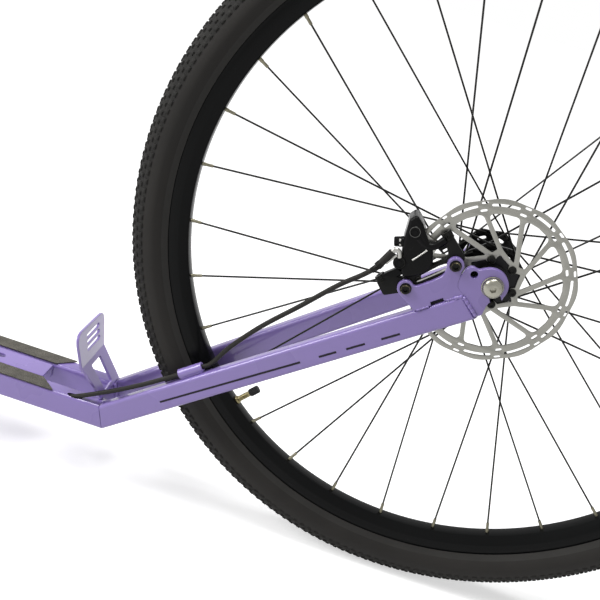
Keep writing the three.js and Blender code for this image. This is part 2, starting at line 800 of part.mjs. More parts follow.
function caliper() {
  const ears = earShares.map((shares) => sidePlate(
    ofRotor(shares), -adapterInner - adapterThickness, -adapterInner));
  const body = join([sidePlate(ofRotor(caliperShares), -caliperOuter, -caliperInner), ...ears]);
  const padRoom = rotorThickness / 2 + fitGap + padLiningThickness + padBackThickness + fitGap;
  const slotRoom = rotorThickness / 2 + rotorRoom;
  const adapterRoom = sidePlate(grown(ofRotor(adapterShares), fitGap),
    -adapterInner - adapterThickness - fitGap, fitGap - adapterInner);
  const padPocket = sidePlate(padOutline(fitGap), -rotorOffset - padRoom, padRoom - rotorOffset);
  const rotorSlot = sidePlate(circle(0, 0, rotorRadius + rotorRoom, wheelSides),
    -rotorOffset - slotRoom, slotRoom - rotorOffset);
  const tabRoom = sidePlate(grown(tabPlate(stayHalfHeight), fitGap),
    -tabInner - tabThickness - fitGap, fitGap - tabInner);
  const boltRoom = mountPlaces.map((place) => rod(v(place.x, -caliperOuter - overrun, place.z),
    v(place.x, -tabInner, place.z), mountBoltHeadRadius + fitGap, smallSides));
  return cut(body, [adapterRoom, padPocket, rotorSlot, tabRoom, ...boltRoom]);
}

function addBrake(group, prefix) {
  addPiece(group, `${prefix}_caliper_adapter`, adapter(), finishes.black);
  addPiece(group, `${prefix}_caliper`, caliper(), finishes.black);
  addPiece(group, `${prefix}_outer_pad`, pad(LEFT), finishes.lining);
  addPiece(group, `${prefix}_inner_pad`, pad(RIGHT), finishes.lining);
}

// Rear end and deck, measured from the rear axle

const railHeading = v(-1, 0, 0);
const kinkUp = mitre(stayBack, railHeading).negate();

function stay(side) {
  const sectionAt = (back, inset, bevel, up, shift = 0) => {
    const centre = stayPoint(back - bevel / 2, 0, side * stayCentre(back))
      .addScaledVector(stayBack, shift);
    const across = v(0, side, 0).addScaledVector(stayBack, bevel / stayWidth);
    return boxSection(centre, across, up, stayWidth - 2 * inset, railHeight - 2 * inset,
      tubeChamfer - inset / 2);
  };
  const body = loft([
    sectionAt(stayEndBack, 0, stayEndBevel, stayNormal),
    sectionAt(kinkBack, 0, 0, kinkUp, -fitGap / 2),
  ]);
  const hollow = loft([
    sectionAt(stayHollowStop, tubeWall, 0, stayNormal),
    sectionAt(kinkBack, tubeWall, 0, kinkUp, overrun / 2),
  ]);
  const hubRoom = rod(v(0, 0, 0), v(0, side * (rotorOuterFace + 2 * rotorBoltHeadHeight), 0),
    discBossRadius + rotorRoom);
  const plateRoom = sidePlate(tailOutline(fitGap),
    ...sideSpan(side, dropoutInner - fitGap, dropoutOuter + fitGap));
  return cut(body, [hollow, hubRoom, plateRoom]);
}

function sideSpan(side, near, far) {
  return side === LEFT ? [-far, -near] : [near, far];
}

function tailOutline(margin) {
  const half = dropoutTailWidth / 2 + margin;
  const end = stayEndBack + dropoutTailDepth + margin;
  return [[0, half], [end, half], [end, -half], [0, -half]].map(([back, rise]) => {
    const place = stayPoint(back, rise);
    return [place.x, place.z];
  });
}

function slotCutter(angle, side) {
  const mouth = turnedAbout(angle, dropoutHookRadius + overrun);
  return sidePlate(slot(0, 0, ...mouth, dropoutSlotWidth / 2, boltSides),
    ...sideSpan(side, 0, dropoutOuter + overrun));
}

// A hooked plate: open slot for the axle, a horn with a hole, and a tail let into the stay
function dropout(side) {
  const span = sideSpan(side, dropoutInner, dropoutOuter);
  const hook = sidePlate(circle(0, 0, dropoutHookRadius, roundSides), ...span);
  const horn = sidePlate([
    turnedAbout(dropoutHoleAngle - radians(60), dropoutHookRadius),
    turnedAbout(dropoutHoleAngle - radians(10), dropoutHornReach),
    turnedAbout(dropoutHoleAngle + radians(10), dropoutHornReach),
    turnedAbout(dropoutHoleAngle + radians(60), dropoutHookRadius),
  ], ...span);
  const [holeX, holeZ] = turnedAbout(dropoutHoleAngle, dropoutHoleReach);
  const hole = sidePlate(circle(holeX, holeZ, dropoutHoleRadius, smallSides),
    ...sideSpan(side, 0, dropoutOuter + overrun));
  const tail = sidePlate(tailOutline(0), ...span);
  return cut(join([hook, horn, tail]), [slotCutter(dropoutSlotAngle, side), hole]);
}

function rail(side) {
  const centre = railInner + railWidth / 2;
  const front = v(-railFrontReach, side * centre, -railCentreDrop);
  const rear = kinkCentre.clone().add(v(-fitGap / 2, side * centre, 0));
  const across = v(0, side, 0);
  const body = loft([
    boxSection(front, across, zDirection, railWidth, railHeight, tubeChamfer),
    boxSection(rear, across, kinkUp, railWidth, railHeight, tubeChamfer),
  ]);
  const width = railWidth - 2 * tubeWall;
  const height = railHeight - 2 * tubeWall;
  const hollow = loft([
    boxSection(front.add(v(tubeWall, 0, 0)), across, zDirection, width, height, tubeChamfer / 2),
    boxSection(rear.add(v(overrun, 0, 0)), across, kinkUp, width, height, tubeChamfer / 2),
  ]);
  return cut(body, [hollow]);
}

function deckPlate() {
  const half = railInner - fitGap;
  const outline = rectangle(-deckPlateFrontReach, -half, -deckPlateRearReach, half);
  const gap = slot(-deckSlotFrontReach, 0, -deckSlotRearReach, 0, deckSlotWidth / 2, 4);
  const top = flatPlate(outline, -deckDrop - deckPlateThickness, -deckDrop, [gap]);
  const lips = [LEFT, RIGHT].map((side) => flatPlate(
    rectangle(-deckPlateFrontReach, side * half, -deckPlateRearReach, side * (half - deckPlateThickness)),
    -deckDrop - deckPlateDepth, -deckDrop));
  return join([top, ...lips]);
}

function gripStrip(side) {
  const outline = [
    [-deckPlateFrontReach, side * railInner], [-deckPlateFrontReach, side * railOuter],
    [-stripRearReach, side * railOuter], [-stripRearReach - stripRearSlant, side * railInner],
  ];
  return flatPlate(outline, fitGap - deckDrop, fitGap + stripThickness - deckDrop);
}

// A cross plate between the rails where they turn up into the stays
function kinkBridge() {
  const low = kinkCentre.clone().addScaledVector(kinkUp, -railHeight / 2);
  const high = kinkCentre.clone().addScaledVector(kinkUp, railHeight / 2);
  const half = railInner - fitGap;
  const shift = v(bridgeBack, 0, 0);
  const outline = [
    low, high, high.clone().add(v(-bridgeThickness, 0, 0)), low.clone().add(v(-bridgeThickness, 0, 0)),
  ].map((corner) => corner.sub(shift)).map(({ x, z }) => [x, z]);
  return sidePlate(outline, -half, half);
}

// A sheet bent once: legs with a window stand on the rails, the upper part carries three slots
function heelGuard() {
  const foot = v(-guardFootReach, 0, fitGap - deckDrop);
  const legUp = v(-Math.sin(guardLegLean), 0, Math.cos(guardLegLean));
  const upperUp = v(-Math.sin(guardUpperLean), 0, Math.cos(guardUpperLean));
  const bend = foot.clone().addScaledVector(legUp, guardLegLength);
  const windowLow = guardLegLength - guardWindowTop - guardWindowHeight;
  const corner = guardCornerRadius;
  const leg = plate([
    [-guardLegHalfWidth, 0], [guardLegHalfWidth, 0],
    [guardBendHalfWidth, guardLegLength], [-guardBendHalfWidth, guardLegLength],
  ], guardThickness, foot, yDirection, legUp, [
    rectangle(-guardWindowHalfWidth, windowLow, guardWindowHalfWidth, windowLow + guardWindowHeight)]);
  const slotRadius = guardUpperLength / 12;
  const slotHalf = guardTopHalfWidth * 0.6;
  const slots = [0.3, 0.53, 0.76].map((share) => slot(
    -slotHalf, guardUpperLength * share, slotHalf, guardUpperLength * share, slotRadius, 3));
  const upper = plate([
    [-guardBendHalfWidth, 0], [guardBendHalfWidth, 0],
    ...arc(guardTopHalfWidth - corner, guardUpperLength - corner, corner, 0, Math.PI / 2, 4),
    ...arc(corner - guardTopHalfWidth, guardUpperLength - corner, corner, Math.PI / 2, Math.PI, 4),
  ], guardThickness, bend, yDirection, upperUp, slots);
  const crease = rod(bend.clone().add(v(0, -guardBendHalfWidth, 0)),
    bend.clone().add(v(0, guardBendHalfWidth, 0)), guardThickness / 2, smallSides);
  const floor = v(0, 0, fitGap - deckDrop);
  const trim = flatPlate(rectangle(-guardFootReach - overrun, -guardTopHalfWidth, overrun - guardFootReach,
    guardTopHalfWidth), floor.z - overrun, floor.z);
  return cut(join([leg, upper, crease]), [trim]);
}

function hoseGuide() {
  const rise = stayHalfHeight + fitGap + guideRadius;
  const end = (back) => stayPoint(back, rise, -guideInset);
  const tube = rod(end(guideBack), end(guideBack + guideLength), guideRadius, smallSides);
  return cut(tube, [rod(end(guideBack - overrun), end(guideBack + guideLength + overrun),
    hoseRadius + hoseBore, smallSides)]);
}

// Rear brake hose: caliper, stay guide, into the left rail, out at its front, up the down tube.
// Each list is measured from the place that its stretch is fixed to.
const hoseFromRearAxle = [
  [-106.6, -57.5, -15.2], [-109.6, -57, -19.4], [-117, -55.5, -28], [-134.4, -53, -45.2],
  [-164.3, -46.5, -81.4], [-195.7, -40, -118.5],
];
const hoseFromKink = [
  [109.4, -37, 124], [95.3, -35.7, 99.1], [89, -35.7, 94.1], [68.2, -35.7, 77.6], [61.9, -35.7, 72.6],
  [36.9, -35.6, 54.5], [10.9, -35.5, 37.5], [-13.1, -35, 23.5], [-33.1, -33, 12], [-49.1, -30, 4.5],
  [-71.1, -28, 1], [-121.1, -28, 0],
];
const hoseFromPlateFront = [[195, -28, 0], [95, -28, 0], [15, -28, 0]];
const hoseFromFoot = [[18, -28, 12.5], [2, -27, 19], [-8, -24.5, 34], [-14, -22, 58], [-26, -21.5, 118]];
const hoseFromBend = [
  [32, -21.5, -160], [13, -21.5, -68], [3, -21.5, -28], [-17, -21.5, 16], [-51, -21.5, 68],
];
const hoseFromHead = [
  [138.9, -21.5, -207.6], [86.9, -21.5, -136.6], [50.9, -21.5, -85.6], [34.9, -21.8, -62.6],
];
const rearHoseSteps = 79;
const hoseEyeShares = [0.5878, 0.7108, 0.8818, 0.9813];

// The loop from the head of the frame to the right brake lever
const loopFromHead = [
  [34.5, -21.8, -62], [24.9, -23, -48.6], [6.9, -27, -19.6], [-15.1, -31, 16.4], [-38.1, -33, 55.4],
  [-58.1, -26, 91.4], [-72.1, -7, 123.4],
];
const loopFromLever = [
  [-26, -93.9, -46.6], [-21, -67.9, -20.6], [-12, -44.9, -5.6], [-4, -24.4, -0.4], [-1, -5.7, -0.1],
  [0, 0, 0],
];
const hoseLoopSteps = 34;

const measuredFrom = (origin, places) => places.map(([x, y, z]) => v(x, y, z).add(origin));

function rearHoseCurve() {
  const plateFront = v(rearAxlePoint.x - deckPlateFrontReach, 0, deckHeight - railHeight / 2);
  return curveThrough([
    ...measuredFrom(rearAxlePoint, hoseFromRearAxle),
    ...measuredFrom(kinkCentre.clone().add(rearAxlePoint), hoseFromKink),
    ...measuredFrom(plateFront, hoseFromPlateFront),
    ...measuredFrom(downTubeFoot, hoseFromFoot),
    ...measuredFrom(downTubeBend, hoseFromBend),
    ...measuredFrom(headCentre, hoseFromHead),
  ]);
}

function hoseLoopCurve() {
  const leverEnd = gripFrame(RIGHT).point(gripLength + leverBodyGap + leverBodyLength + fitGap,
    leverForward - leverBossRadius, 0);
  return curveThrough([
    ...measuredFrom(headCentre, loopFromHead),
    ...measuredFrom(leverEnd, loopFromLever),
  ]);
}

const rearHose = (radius) => sweep(rearHoseCurve(), radius, hoseSides, rearHoseSteps);

function fromRearAxle(solid) {
  return solid.translate([-rearAxlePoint.x, -rearAxlePoint.y, -rearAxlePoint.z]);
}

function addRearEnd(group) {
  const hoseRoom = fromRearAxle(rearHose(hoseRadius + hoseBore));
  addPiece(group, 'left_chainstay', stay(LEFT), finishes.frame);
  addPiece(group, 'right_chainstay', stay(RIGHT), finishes.frame);
  addPiece(group, 'left_deck_rail', cut(rail(LEFT), [hoseRoom]), finishes.frame);
  addPiece(group, 'right_deck_rail', rail(RIGHT), finishes.frame);
  addPiece(group, 'left_dropout', dropout(LEFT), finishes.frame);
  addPiece(group, 'right_dropout', dropout(RIGHT), finishes.frame);
  addPiece(group, 'deck_plate', deckPlate(), finishes.frame);
  addPiece(group, 'left_grip_strip', gripStrip(LEFT), finishes.strip);
  addPiece(group, 'right_grip_strip', gripStrip(RIGHT), finishes.strip);
  addPiece(group, 'kink_bridge', kinkBridge(), finishes.frame);
  addPiece(group, 'heel_guard', cut(heelGuard(), [hoseRoom]), finishes.frame);
  addPiece(group, 'hose_guide', hoseGuide(), finishes.frame);
  addPiece(group, 'caliper_tab', caliperTab(), finishes.frame);
  addPiece(group, 'tab_rear_bolt', mountBolt(mountPlaces[0]), finishes.black);
  addPiece(group, 'tab_front_bolt', mountBolt(mountPlaces[1]), finishes.black);
  addPiece(group, 'rear_axle', axle(), finishes.steel);
  addPiece(group, 'rear_axle_bolt_left', axleBolt(LEFT), finishes.bolt);
  addPiece(group, 'rear_axle_bolt_right', axleBolt(RIGHT), finishes.bolt);
  addBrake(group, 'rear');
}

// Front of the frame, in the bike's own frame

function downTubeBeam(inset) {
  const lower = downTubeBend.clone().sub(downTubeFoot).normalize();
  const upper = headCentre.clone().sub(downTubeBend).normalize();
  const footUp = xDirection.clone().divideScalar(lower.z).negate();
  const sections = [
    [downTubeFoot.clone().addScaledVector(lower, inset > 0 ? -overrun : 0), footUp],
    [downTubeBend, mitre(lower, upper)],
    [headCentre, v(-upper.z, 0, upper.x)],
  ].map(([centre, up]) => boxSection(centre, yDirection, up, downTubeWidth - 2 * inset,
    downTubeDepth - 2 * inset, 2 * tubeChamfer - inset / 2));
  return loft(sections);
}

const headCylinder = (radius) => rod(steerPoint(headBottom - overrun), steerPoint(headTop + overrun),
  radius, steererSides);

// Eyes on the left of the down tube hold the hose
function hoseEyes() {
  const inner = downTubeWidth / 2 - tubeWall;
  const route = rearHoseCurve();
  return hoseEyeShares.map((share) => {
    const { x, y, z } = route.getPointAt(share);
    const outer = hoseRadius + hoseBore + eyeWall - y;
    return sidePlate(rectangle(x - eyeWidth / 2, z - eyeHeight / 2, x + eyeWidth / 2, z + eyeHeight / 2),
      -outer, -inner);
  });
}

function downTube() {
  const hoseRoom = rearHose(hoseRadius + hoseBore);
  const body = join([downTubeBeam(0), ...hoseEyes()]);
  return cut(body, [downTubeBeam(tubeWall), headCylinder(headTubeRadius + fitGap), hoseRoom]);
}

function gusset() {
  const heading = headCentre.clone().sub(downTubeBend).normalize();
  const along = headCentre.clone().addScaledVector(heading, -gussetReach);
  const under = v(-heading.z, 0, heading.x);
  const low = steerPoint(headBottom + cupSkirt, -headTubeRadius);
  const inner = headCentre;
  const outline = [low, along.clone().addScaledVector(under, downTubeDepth / 2), along, inner];
  const body = sidePlate(outline.map(({ x, z }) => [x, z]), -gussetThickness / 2, gussetThickness / 2);
  return cut(body, [downTubeBeam(-fitGap), headCylinder(headTubeRadius + fitGap)]);
}

function headTube() {
  const body = rod(steerPoint(headBottom + fitGap), steerPoint(headTop - fitGap), headTubeRadius,
    steererSides);
  return cut(body, [headCylinder(headTubeBore)]);
}

// A lathed piece stood up along the steering axis
function alongSteering(solid) {
  const turn = new THREE.Matrix4().makeRotationFromQuaternion(
    new THREE.Quaternion().setFromUnitVectors(yDirection, steerUp));
  turn.setPosition(steerFoot);
  return solid.transform(turn.elements);
}

// A bearing cup: a flange outside the head tube and a skirt pressed into it
function headsetCup(face, flange, skirt) {
  const bore = steererRadius + runGap;
  const skirtRadius = headTubeBore - fitGap;
  return alongSteering(turnedRing([
    [bore, skirt], [skirtRadius, skirt], [skirtRadius, face], [cupRadius, face], [cupRadius, flange],
    [bore, flange],
  ], steererSides));
}

function addFrameFront(group) {
  addPiece(group, 'down_tube', downTube(), finishes.frame);
  addPiece(group, 'head_gusset', gusset(), finishes.frame);
  addPiece(group, 'head_tube', headTube(), finishes.frame);
  addPiece(group, 'lower_headset_cup', headsetCup(headBottom, crownRace + fitGap, headBottom + cupSkirt),
    finishes.black);
  addPiece(group, 'upper_headset_cup', headsetCup(headTop, headTop + lowerCupHeight, headTop - cupSkirt),
    finishes.black);
  addPiece(group, 'rear_hose', rearHose(hoseRadius), finishes.rubber);
}

// Fork and its brake mount

const bladeHeading = steerPoint(crownBottom).sub(frontAxlePoint).normalize();
const brakeTurn = Math.atan2(stayBack.z, stayBack.x) - Math.atan2(bladeHeading.z, bladeHeading.x);

function toFront(solid) {
  const place = new THREE.Matrix4().makeRotationY(brakeTurn);
  place.setPosition(frontAxlePoint);
  return solid.transform(place.elements);
}

function forkDropout(side) {
  const span = sideSpan(side, dropoutInner, dropoutOuter);
  const tail = bladeHeading.clone().multiplyScalar(bladeEndBack + dropoutTailDepth);
  const half = bladeBottomRadius - fitGap;
  const sideways = v(-bladeHeading.z * half, 0, bladeHeading.x * half);
  const outline = [
    sideways, sideways.clone().negate(), tail.clone().sub(sideways), tail.clone().add(sideways),
  ];
  const plates = join([
    sidePlate(circle(0, 0, dropoutHookRadius, roundSides), ...span),
    sidePlate(outline.map(({ x, z }) => [x, z]), ...span),
  ]);
  return cut(plates, [slotCutter(forkSlotAngle, side)]).translate(frontAxlePoint.toArray());
}

function fork() {
  const steerer = rod(steerPoint(crownBottom + fitGap), steerPoint(stemTop - topCapHeight), steererRadius,
    steererSides);
  const crownCorners = [
    [crownBottom, -crownDepth / 2], [crownBottom, crownDepth / 2],
    [crownRace, crownDepth / 2 - tubeChamfer], [crownRace, tubeChamfer - crownDepth / 2],
  ].map(([along, forward]) => steerPoint(along, forward)).map(({ x, z }) => [x, z]);
  const crown = sidePlate(crownCorners, -crownHalfWidth, crownHalfWidth);
  const blades = [LEFT, RIGHT].map((side) => {
    const top = steerPoint((crownBottom + crownRace) / 2, 0, side * bladeTopHalfSpan);
    const bottom = frontAxlePoint.clone().addScaledVector(bladeHeading, bladeEndBack)
      .add(v(0, side * bladeBottomHalfSpan, 0));
    return rod(bottom, top, bladeBottomRadius, smallSides, bladeTopRadius);
  });
  const tab = cut(sidePlate(tabPlate(stayDrop), -tabInner - tabThickness, -tabInner), mountHoles());
  return join([steerer, crown, ...blades, forkDropout(LEFT), forkDropout(RIGHT), toFront(tab)]);
}

function frontAxle() {
  const seat = dropoutInner - fitGap;
  const bare = turned([
    [0, -seat], [capRadius, -seat], [capRadius, capLength - seat], [axleRadius, capLength - seat],
    [axleRadius, seat - capLength], [capRadius, seat - capLength], [capRadius, seat], [0, seat],
  ], roundSides);
  return join([bare, axleBolt(LEFT), axleBolt(RIGHT)]);
}

// Stem and handlebar

const stemHeading = barCentre.clone().sub(steerPoint((stemBottom + stemTop) / 2)).normalize();
const barAxis = (half, radius) => rod(barCentre.clone().add(v(0, -half, 0)),
  barCentre.clone().add(v(0, half, 0)), radius, handSides);

// All that lies ahead of, or behind, the slit between the stem and its faceplate
function besideSlit(ahead) {
  const up = v(-stemHeading.z, 0, stemHeading.x);
  const depth = 2 * overrun;
  const shift = ahead ? -faceplateGap / 2 : faceplateGap / 2 - depth;
  return plate(rectangle(-barClampWidth, -barClampWidth, barClampWidth, barClampWidth), depth,
    barCentre.clone().addScaledVector(stemHeading, shift), yDirection, up);
}

const stemScrewPlaces = [LEFT, RIGHT].flatMap((side) => [LEFT, RIGHT].map((rise) => {
  const up = v(-stemHeading.z, 0, stemHeading.x);
  return barCentre.clone().add(v(0, side * barClampWidth * 0.32, 0))
    .addScaledVector(up, rise * (barClampRadius - faceplateGap));
}));

function clampRing() {
  const screwLugs = stemScrewPlaces.map((place) => rod(
    place.clone().addScaledVector(stemHeading, -barClampRadius * 0.4),
    place.clone().addScaledVector(stemHeading, barClampRadius * 0.4), barClampRadius * 0.24, boltSides));
  return join([barAxis(barClampWidth / 2, barClampRadius), ...screwLugs]);
}

function stem() {
  const centre = steerPoint((stemBottom + stemTop) / 2);
  const body = join([
    rod(steerPoint(stemBottom), steerPoint(stemTop), stemClampRadius),
    rod(centre, barCentre.clone().addScaledVector(stemHeading, -barCentreRadius), stemTubeRadius, handSides),
    clampRing(),
  ]);
  const steererBore = rod(steerPoint(stemBottom - overrun), steerPoint(stemTop + overrun),
    steererRadius + fitGap, steererSides);
  return cut(body, [besideSlit(true), barAxis(barClampWidth, barCentreRadius + fitGap), steererBore]);
}

function faceplate() {
  return cut(clampRing(), [besideSlit(false), barAxis(barClampWidth, barCentreRadius + fitGap)]);
}

function topCap() {
  const seat = stemTop + fitGap;
  const cap = rod(steerPoint(seat), steerPoint(seat + topCapHeight), stemClampRadius, roundSides,
    stemClampRadius - topCapHeight / 2);
  const socket = rod(steerPoint(seat + topCapHeight / 2), steerPoint(seat + overrun), hexSocketRadius,
    boltSides);
  return cut(cap, [socket]);
}

function spacer() {
  const body = rod(steerPoint(spacerBottom), steerPoint(spacerBottom + spacerHeight), spacerRadius);
  return cut(body, [rod(steerPoint(headTop), steerPoint(stemTop), steererRadius + fitGap, steererSides)]);
}

// Corners of the bar's centre line on one side, from the middle out
const barCorners = (side) => [
  [0, 0, 0], [0, barKnee, 0], [barShoulderBack, barShoulder, barRise],
  [barBack, barHalfWidth, barRise + barTipRise],
].map(([x, y, z]) => barCentre.clone().add(v(x, side * y, z)));

// Straight runs joined by short bends
function barPath() {
  const corners = [...barCorners(LEFT).slice(1).reverse(), ...barCorners(RIGHT).slice(1)];
  const path = new THREE.CurvePath();
  let from = corners[0];
  for (let i = 1; i < corners.length - 1; i += 1) {
    const corner = corners[i];
    const before = corners[i - 1].clone().sub(corner).normalize();
    const after = corners[i + 1].clone().sub(corner).normalize();
    const bendStart = corner.clone().addScaledVector(before, barBendTrim);
    const bendEnd = corner.clone().addScaledVector(after, barBendTrim);
    path.add(new THREE.LineCurve3(from, bendStart));
    path.add(new THREE.QuadraticBezierCurve3(bendStart, corner, bendEnd));
    from = bendEnd;
  }
  path.add(new THREE.LineCurve3(from, corners[corners.length - 1]));
  return path;
}

function handlebar() {
  const half = barCentreHalfWidth;
  const bulge = turned([
    [0, -half - barTaper], [barRadius, -half - barTaper], [barCentreRadius, -half],
    [barCentreRadius, half], [barRadius, half + barTaper], [0, half + barTaper],
  ], handSides).translate(barCentre.toArray());
  const tube = sweep(barPath(), barRadius, smallSides, barSteps);
  return tube.add(bulge);
}

// A place by the grip: distance in from the bar's end, forward of it, and up
function gripFrame(side) {
  const [, , shoulder, tip] = barCorners(side);
  const inward = shoulder.clone().sub(tip).normalize();
  const up = zDirection.clone().addScaledVector(inward, -zDirection.dot(inward)).normalize();
  const forward = up.clone().cross(inward).multiplyScalar(side);
  const ahead = forward.x < 0 ? forward : forward.negate();
  const point = (along, front, rise) => tip.clone().addScaledVector(inward, along)
    .addScaledVector(ahead, front).addScaledVector(up, rise);
  return { inward, up, ahead, point };
}

function grip(side) {
  const { point } = gripFrame(side);
  const body = rod(point(-gripEnd, 0, 0), point(gripLength, 0, 0), gripRadius, handSides);
  const collar = rod(point(gripLength - gripEnd, 0, 0), point(gripLength, 0, 0), gripRadius + gripEnd / 2,
    handSides);
  const bore = rod(point(-fitGap, 0, 0), point(gripLength + overrun, 0, 0), barRadius + fitGap, handSides);
  return cut(body.add(collar), [bore]);
}

function leverBody(side) {
  const { point, inward, ahead } = gripFrame(side);
  const start = gripLength + leverBodyGap;
  const middle = start + leverClampWidth / 2;
  const clamp = rod(point(start, 0, 0), point(start + leverClampWidth, 0, 0), leverClampRadius, handSides);
  const neck = rod(point(middle, barRadius + fitGap, 0), point(middle, leverForward, 0), leverClampWidth / 2,
    boltSides);
  const cylinder = rod(point(start, leverForward - leverBossRadius, 0),
    point(start + leverBodyLength, leverForward - leverBossRadius, 0), leverBodyRadius, hoseSides);
  const lugLow = leverThickness / 2 + fitGap;
  const pivot = leverPivot(side);
  const lugs = [LEFT, RIGHT].map((rise) => {
    const base = Math.min(rise * lugLow, rise * (lugLow + lugThickness));
    const corner = pivot.clone().addScaledVector(upOf(side), base).addScaledVector(inward, -leverBossRadius);
    const facing = inward.clone().cross(ahead).dot(upOf(side)) > 0 ? 1 : -1;
    const outline = rectangle(0, -leverBossRadius, 2 * leverBossRadius + leverBodyGap, leverBossRadius);
    return plate(outline, lugThickness, corner, inward, ahead.clone().multiplyScalar(facing));
  });
  const pin = rod(pivot.clone().addScaledVector(upOf(side), -lugLow - lugThickness),
    pivot.clone().addScaledVector(upOf(side), lugLow + lugThickness), leverPinRadius);
  const leverRoom = rod(pivot.clone().addScaledVector(upOf(side), -lugLow),
    pivot.clone().addScaledVector(upOf(side), lugLow), leverBossRadius + rotorRoom);
  const clampBore = rod(point(start - overrun, 0, 0), point(start + leverClampWidth + overrun, 0, 0),
    barRadius + fitGap, handSides);
  return cut(join([clamp, neck, cylinder, ...lugs]), [leverRoom, clampBore]).add(pin);
}

const upOf = (side) => gripFrame(side).up;
const leverPivot = (side) => gripFrame(side).point(gripLength, leverForward, 0);

function lever(side) {
  const { point, inward, ahead } = gripFrame(side);
  const up = upOf(side);
  const pivot = leverPivot(side);
  const facing = inward.clone().cross(ahead).dot(up) > 0 ? 1 : -1;
  const half = leverBladeDepth / 2;
  const reach = -leverLength;
  const tip = leverTipForward;
  const outline = [
    [0, -half], [reach / 2, tip - half], [reach, tip], [reach - half, tip + half],
    [reach, tip + leverBladeDepth], [reach / 2, tip + half], [0, half],
  ];
  const base = pivot.clone().addScaledVector(up, -facing * leverThickness / 2);
  const blade = plate(outline, leverThickness, base, inward, ahead);
  const boss = rod(pivot.clone().addScaledVector(up, -leverThickness / 2),
    pivot.clone().addScaledVector(up, leverThickness / 2), leverBossRadius);
  const hole = rod(pivot.clone().addScaledVector(up, -overrun), pivot.clone().addScaledVector(up, overrun),
    leverPinRadius + runGap);
  return cut(blade.add(boss), [hole]);
}

function addSteering(group) {
  addPiece(group, 'fork', fork(), finishes.frame);
  addPiece(group, 'headset_spacer', spacer(), finishes.black);
  addPiece(group, 'stem', stem(), finishes.black);
  addPiece(group, 'stem_faceplate', faceplate(), finishes.black);
  addPiece(group, 'stem_top_cap', topCap(), finishes.black);
  addPiece(group, 'handlebar', handlebar(), finishes.black);
  for (const [side, word] of [[LEFT, 'left'], [RIGHT, 'right']]) {
    addPiece(group, `${word}_grip`, grip(side), finishes.rubber);
    addPiece(group, `${word}_lever_body`, leverBody(side), finishes.black);
    addPiece(group, `${word}_lever`, lever(side), finishes.black);
  }
  addPiece(group, 'rear_hose_loop', sweep(hoseLoopCurve(), hoseRadius, hoseSides, hoseLoopSteps),
    finishes.rubber);
}

const bike = new THREE.Group();
const rearEnd = new THREE.Group();
rearEnd.position.copy(rearAxlePoint);
addRearEnd(rearEnd);
addWheel(rearEnd, 'rear');
const frontEnd = new THREE.Group();
frontEnd.position.copy(frontAxlePoint);
addWheel(frontEnd, 'front');
addPiece(frontEnd, 'front_axle', frontAxle(), finishes.bolt);
const frontBrake = new THREE.Group();
frontBrake.position.copy(frontAxlePoint);
frontBrake.rotation.y = brakeTurn;
addBrake(frontBrake, 'front');
bike.add(rearEnd, frontEnd, frontBrake);
addFrameFront(bike);
addSteering(bike);

export default bike;
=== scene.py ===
"""Kick bike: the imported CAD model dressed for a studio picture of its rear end.

Metres, in the frame of the CAD model: +X to the rear, +Y to the rider's right, +Z up.
"""

import logging
from contextlib import contextmanager
from dataclasses import dataclass
from enum import Enum
from math import asin, atan2, copysign, cos, dist, hypot, pi, radians, sin, sqrt, tan
from typing import Callable, Iterator, Sequence

import bmesh
import bpy
from mathutils import Matrix, Vector


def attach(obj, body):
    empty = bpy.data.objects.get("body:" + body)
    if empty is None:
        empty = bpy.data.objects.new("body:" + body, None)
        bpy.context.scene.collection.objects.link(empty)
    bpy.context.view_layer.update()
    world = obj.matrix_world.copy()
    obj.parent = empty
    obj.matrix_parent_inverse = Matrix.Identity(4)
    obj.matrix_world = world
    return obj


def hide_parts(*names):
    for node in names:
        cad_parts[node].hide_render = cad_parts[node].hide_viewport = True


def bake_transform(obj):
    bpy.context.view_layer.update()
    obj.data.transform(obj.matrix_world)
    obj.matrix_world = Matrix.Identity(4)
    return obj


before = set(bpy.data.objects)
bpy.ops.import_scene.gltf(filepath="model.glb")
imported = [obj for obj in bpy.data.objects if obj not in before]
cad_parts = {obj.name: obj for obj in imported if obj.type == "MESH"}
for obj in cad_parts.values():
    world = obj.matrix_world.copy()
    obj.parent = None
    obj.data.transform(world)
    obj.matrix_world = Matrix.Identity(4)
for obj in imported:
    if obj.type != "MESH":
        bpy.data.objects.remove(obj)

LOG = logging.getLogger("kick_bike")

Flat = tuple[float, float]
Place = tuple[float, float, float]
Piece = bpy.types.Object
Tree = bpy.types.NodeTree
Node = bpy.types.Node
Socket = bpy.types.NodeSocket

TURN = 2 * pi
QUARTER = pi / 2
MM = 0.001
MERGE = 0.004 * MM
FIT = 0.3 * MM
SMOOTH = radians(32)
COAT_ROUGHNESS = 0.08


class Side(Enum):
    """The two sides of the bike, as the sign of Y."""

    LEFT = -1
    RIGHT = 1

    @property
    def word(self) -> str:
        """The side's name in lower case."""
        return self.name.lower()


# ---------------------------------------------------------------- outlines


def mm(*values: float) -> tuple[float, ...]:
    """Millimetres as metres."""
    return tuple(value * MM for value in values)


def in_mm(rows: Sequence[Sequence[float]]) -> list[tuple[float, ...]]:
    """Rows of millimetres as metres."""
    return [mm(*row) for row in rows]


def polar(radius: float, angle: float, centre: Flat = (0, 0)) -> Flat:
    """The place at an angle on a circle."""
    return centre[0] + radius * cos(angle), centre[1] + radius * sin(angle)


def flipped(half: Sequence[Flat]) -> list[Flat]:
    """The mirror of half a section across Y, in the other order."""
    return [(r, -y) for r, y in reversed(half)]


def arc(centre: Flat, radius: float, start: float, end: float, steps: int) -> list[Flat]:
    """Points along an arc of so many chords, from one angle to another."""
    return [polar(radius, start + (end - start) * i / steps, centre) for i in range(steps + 1)]


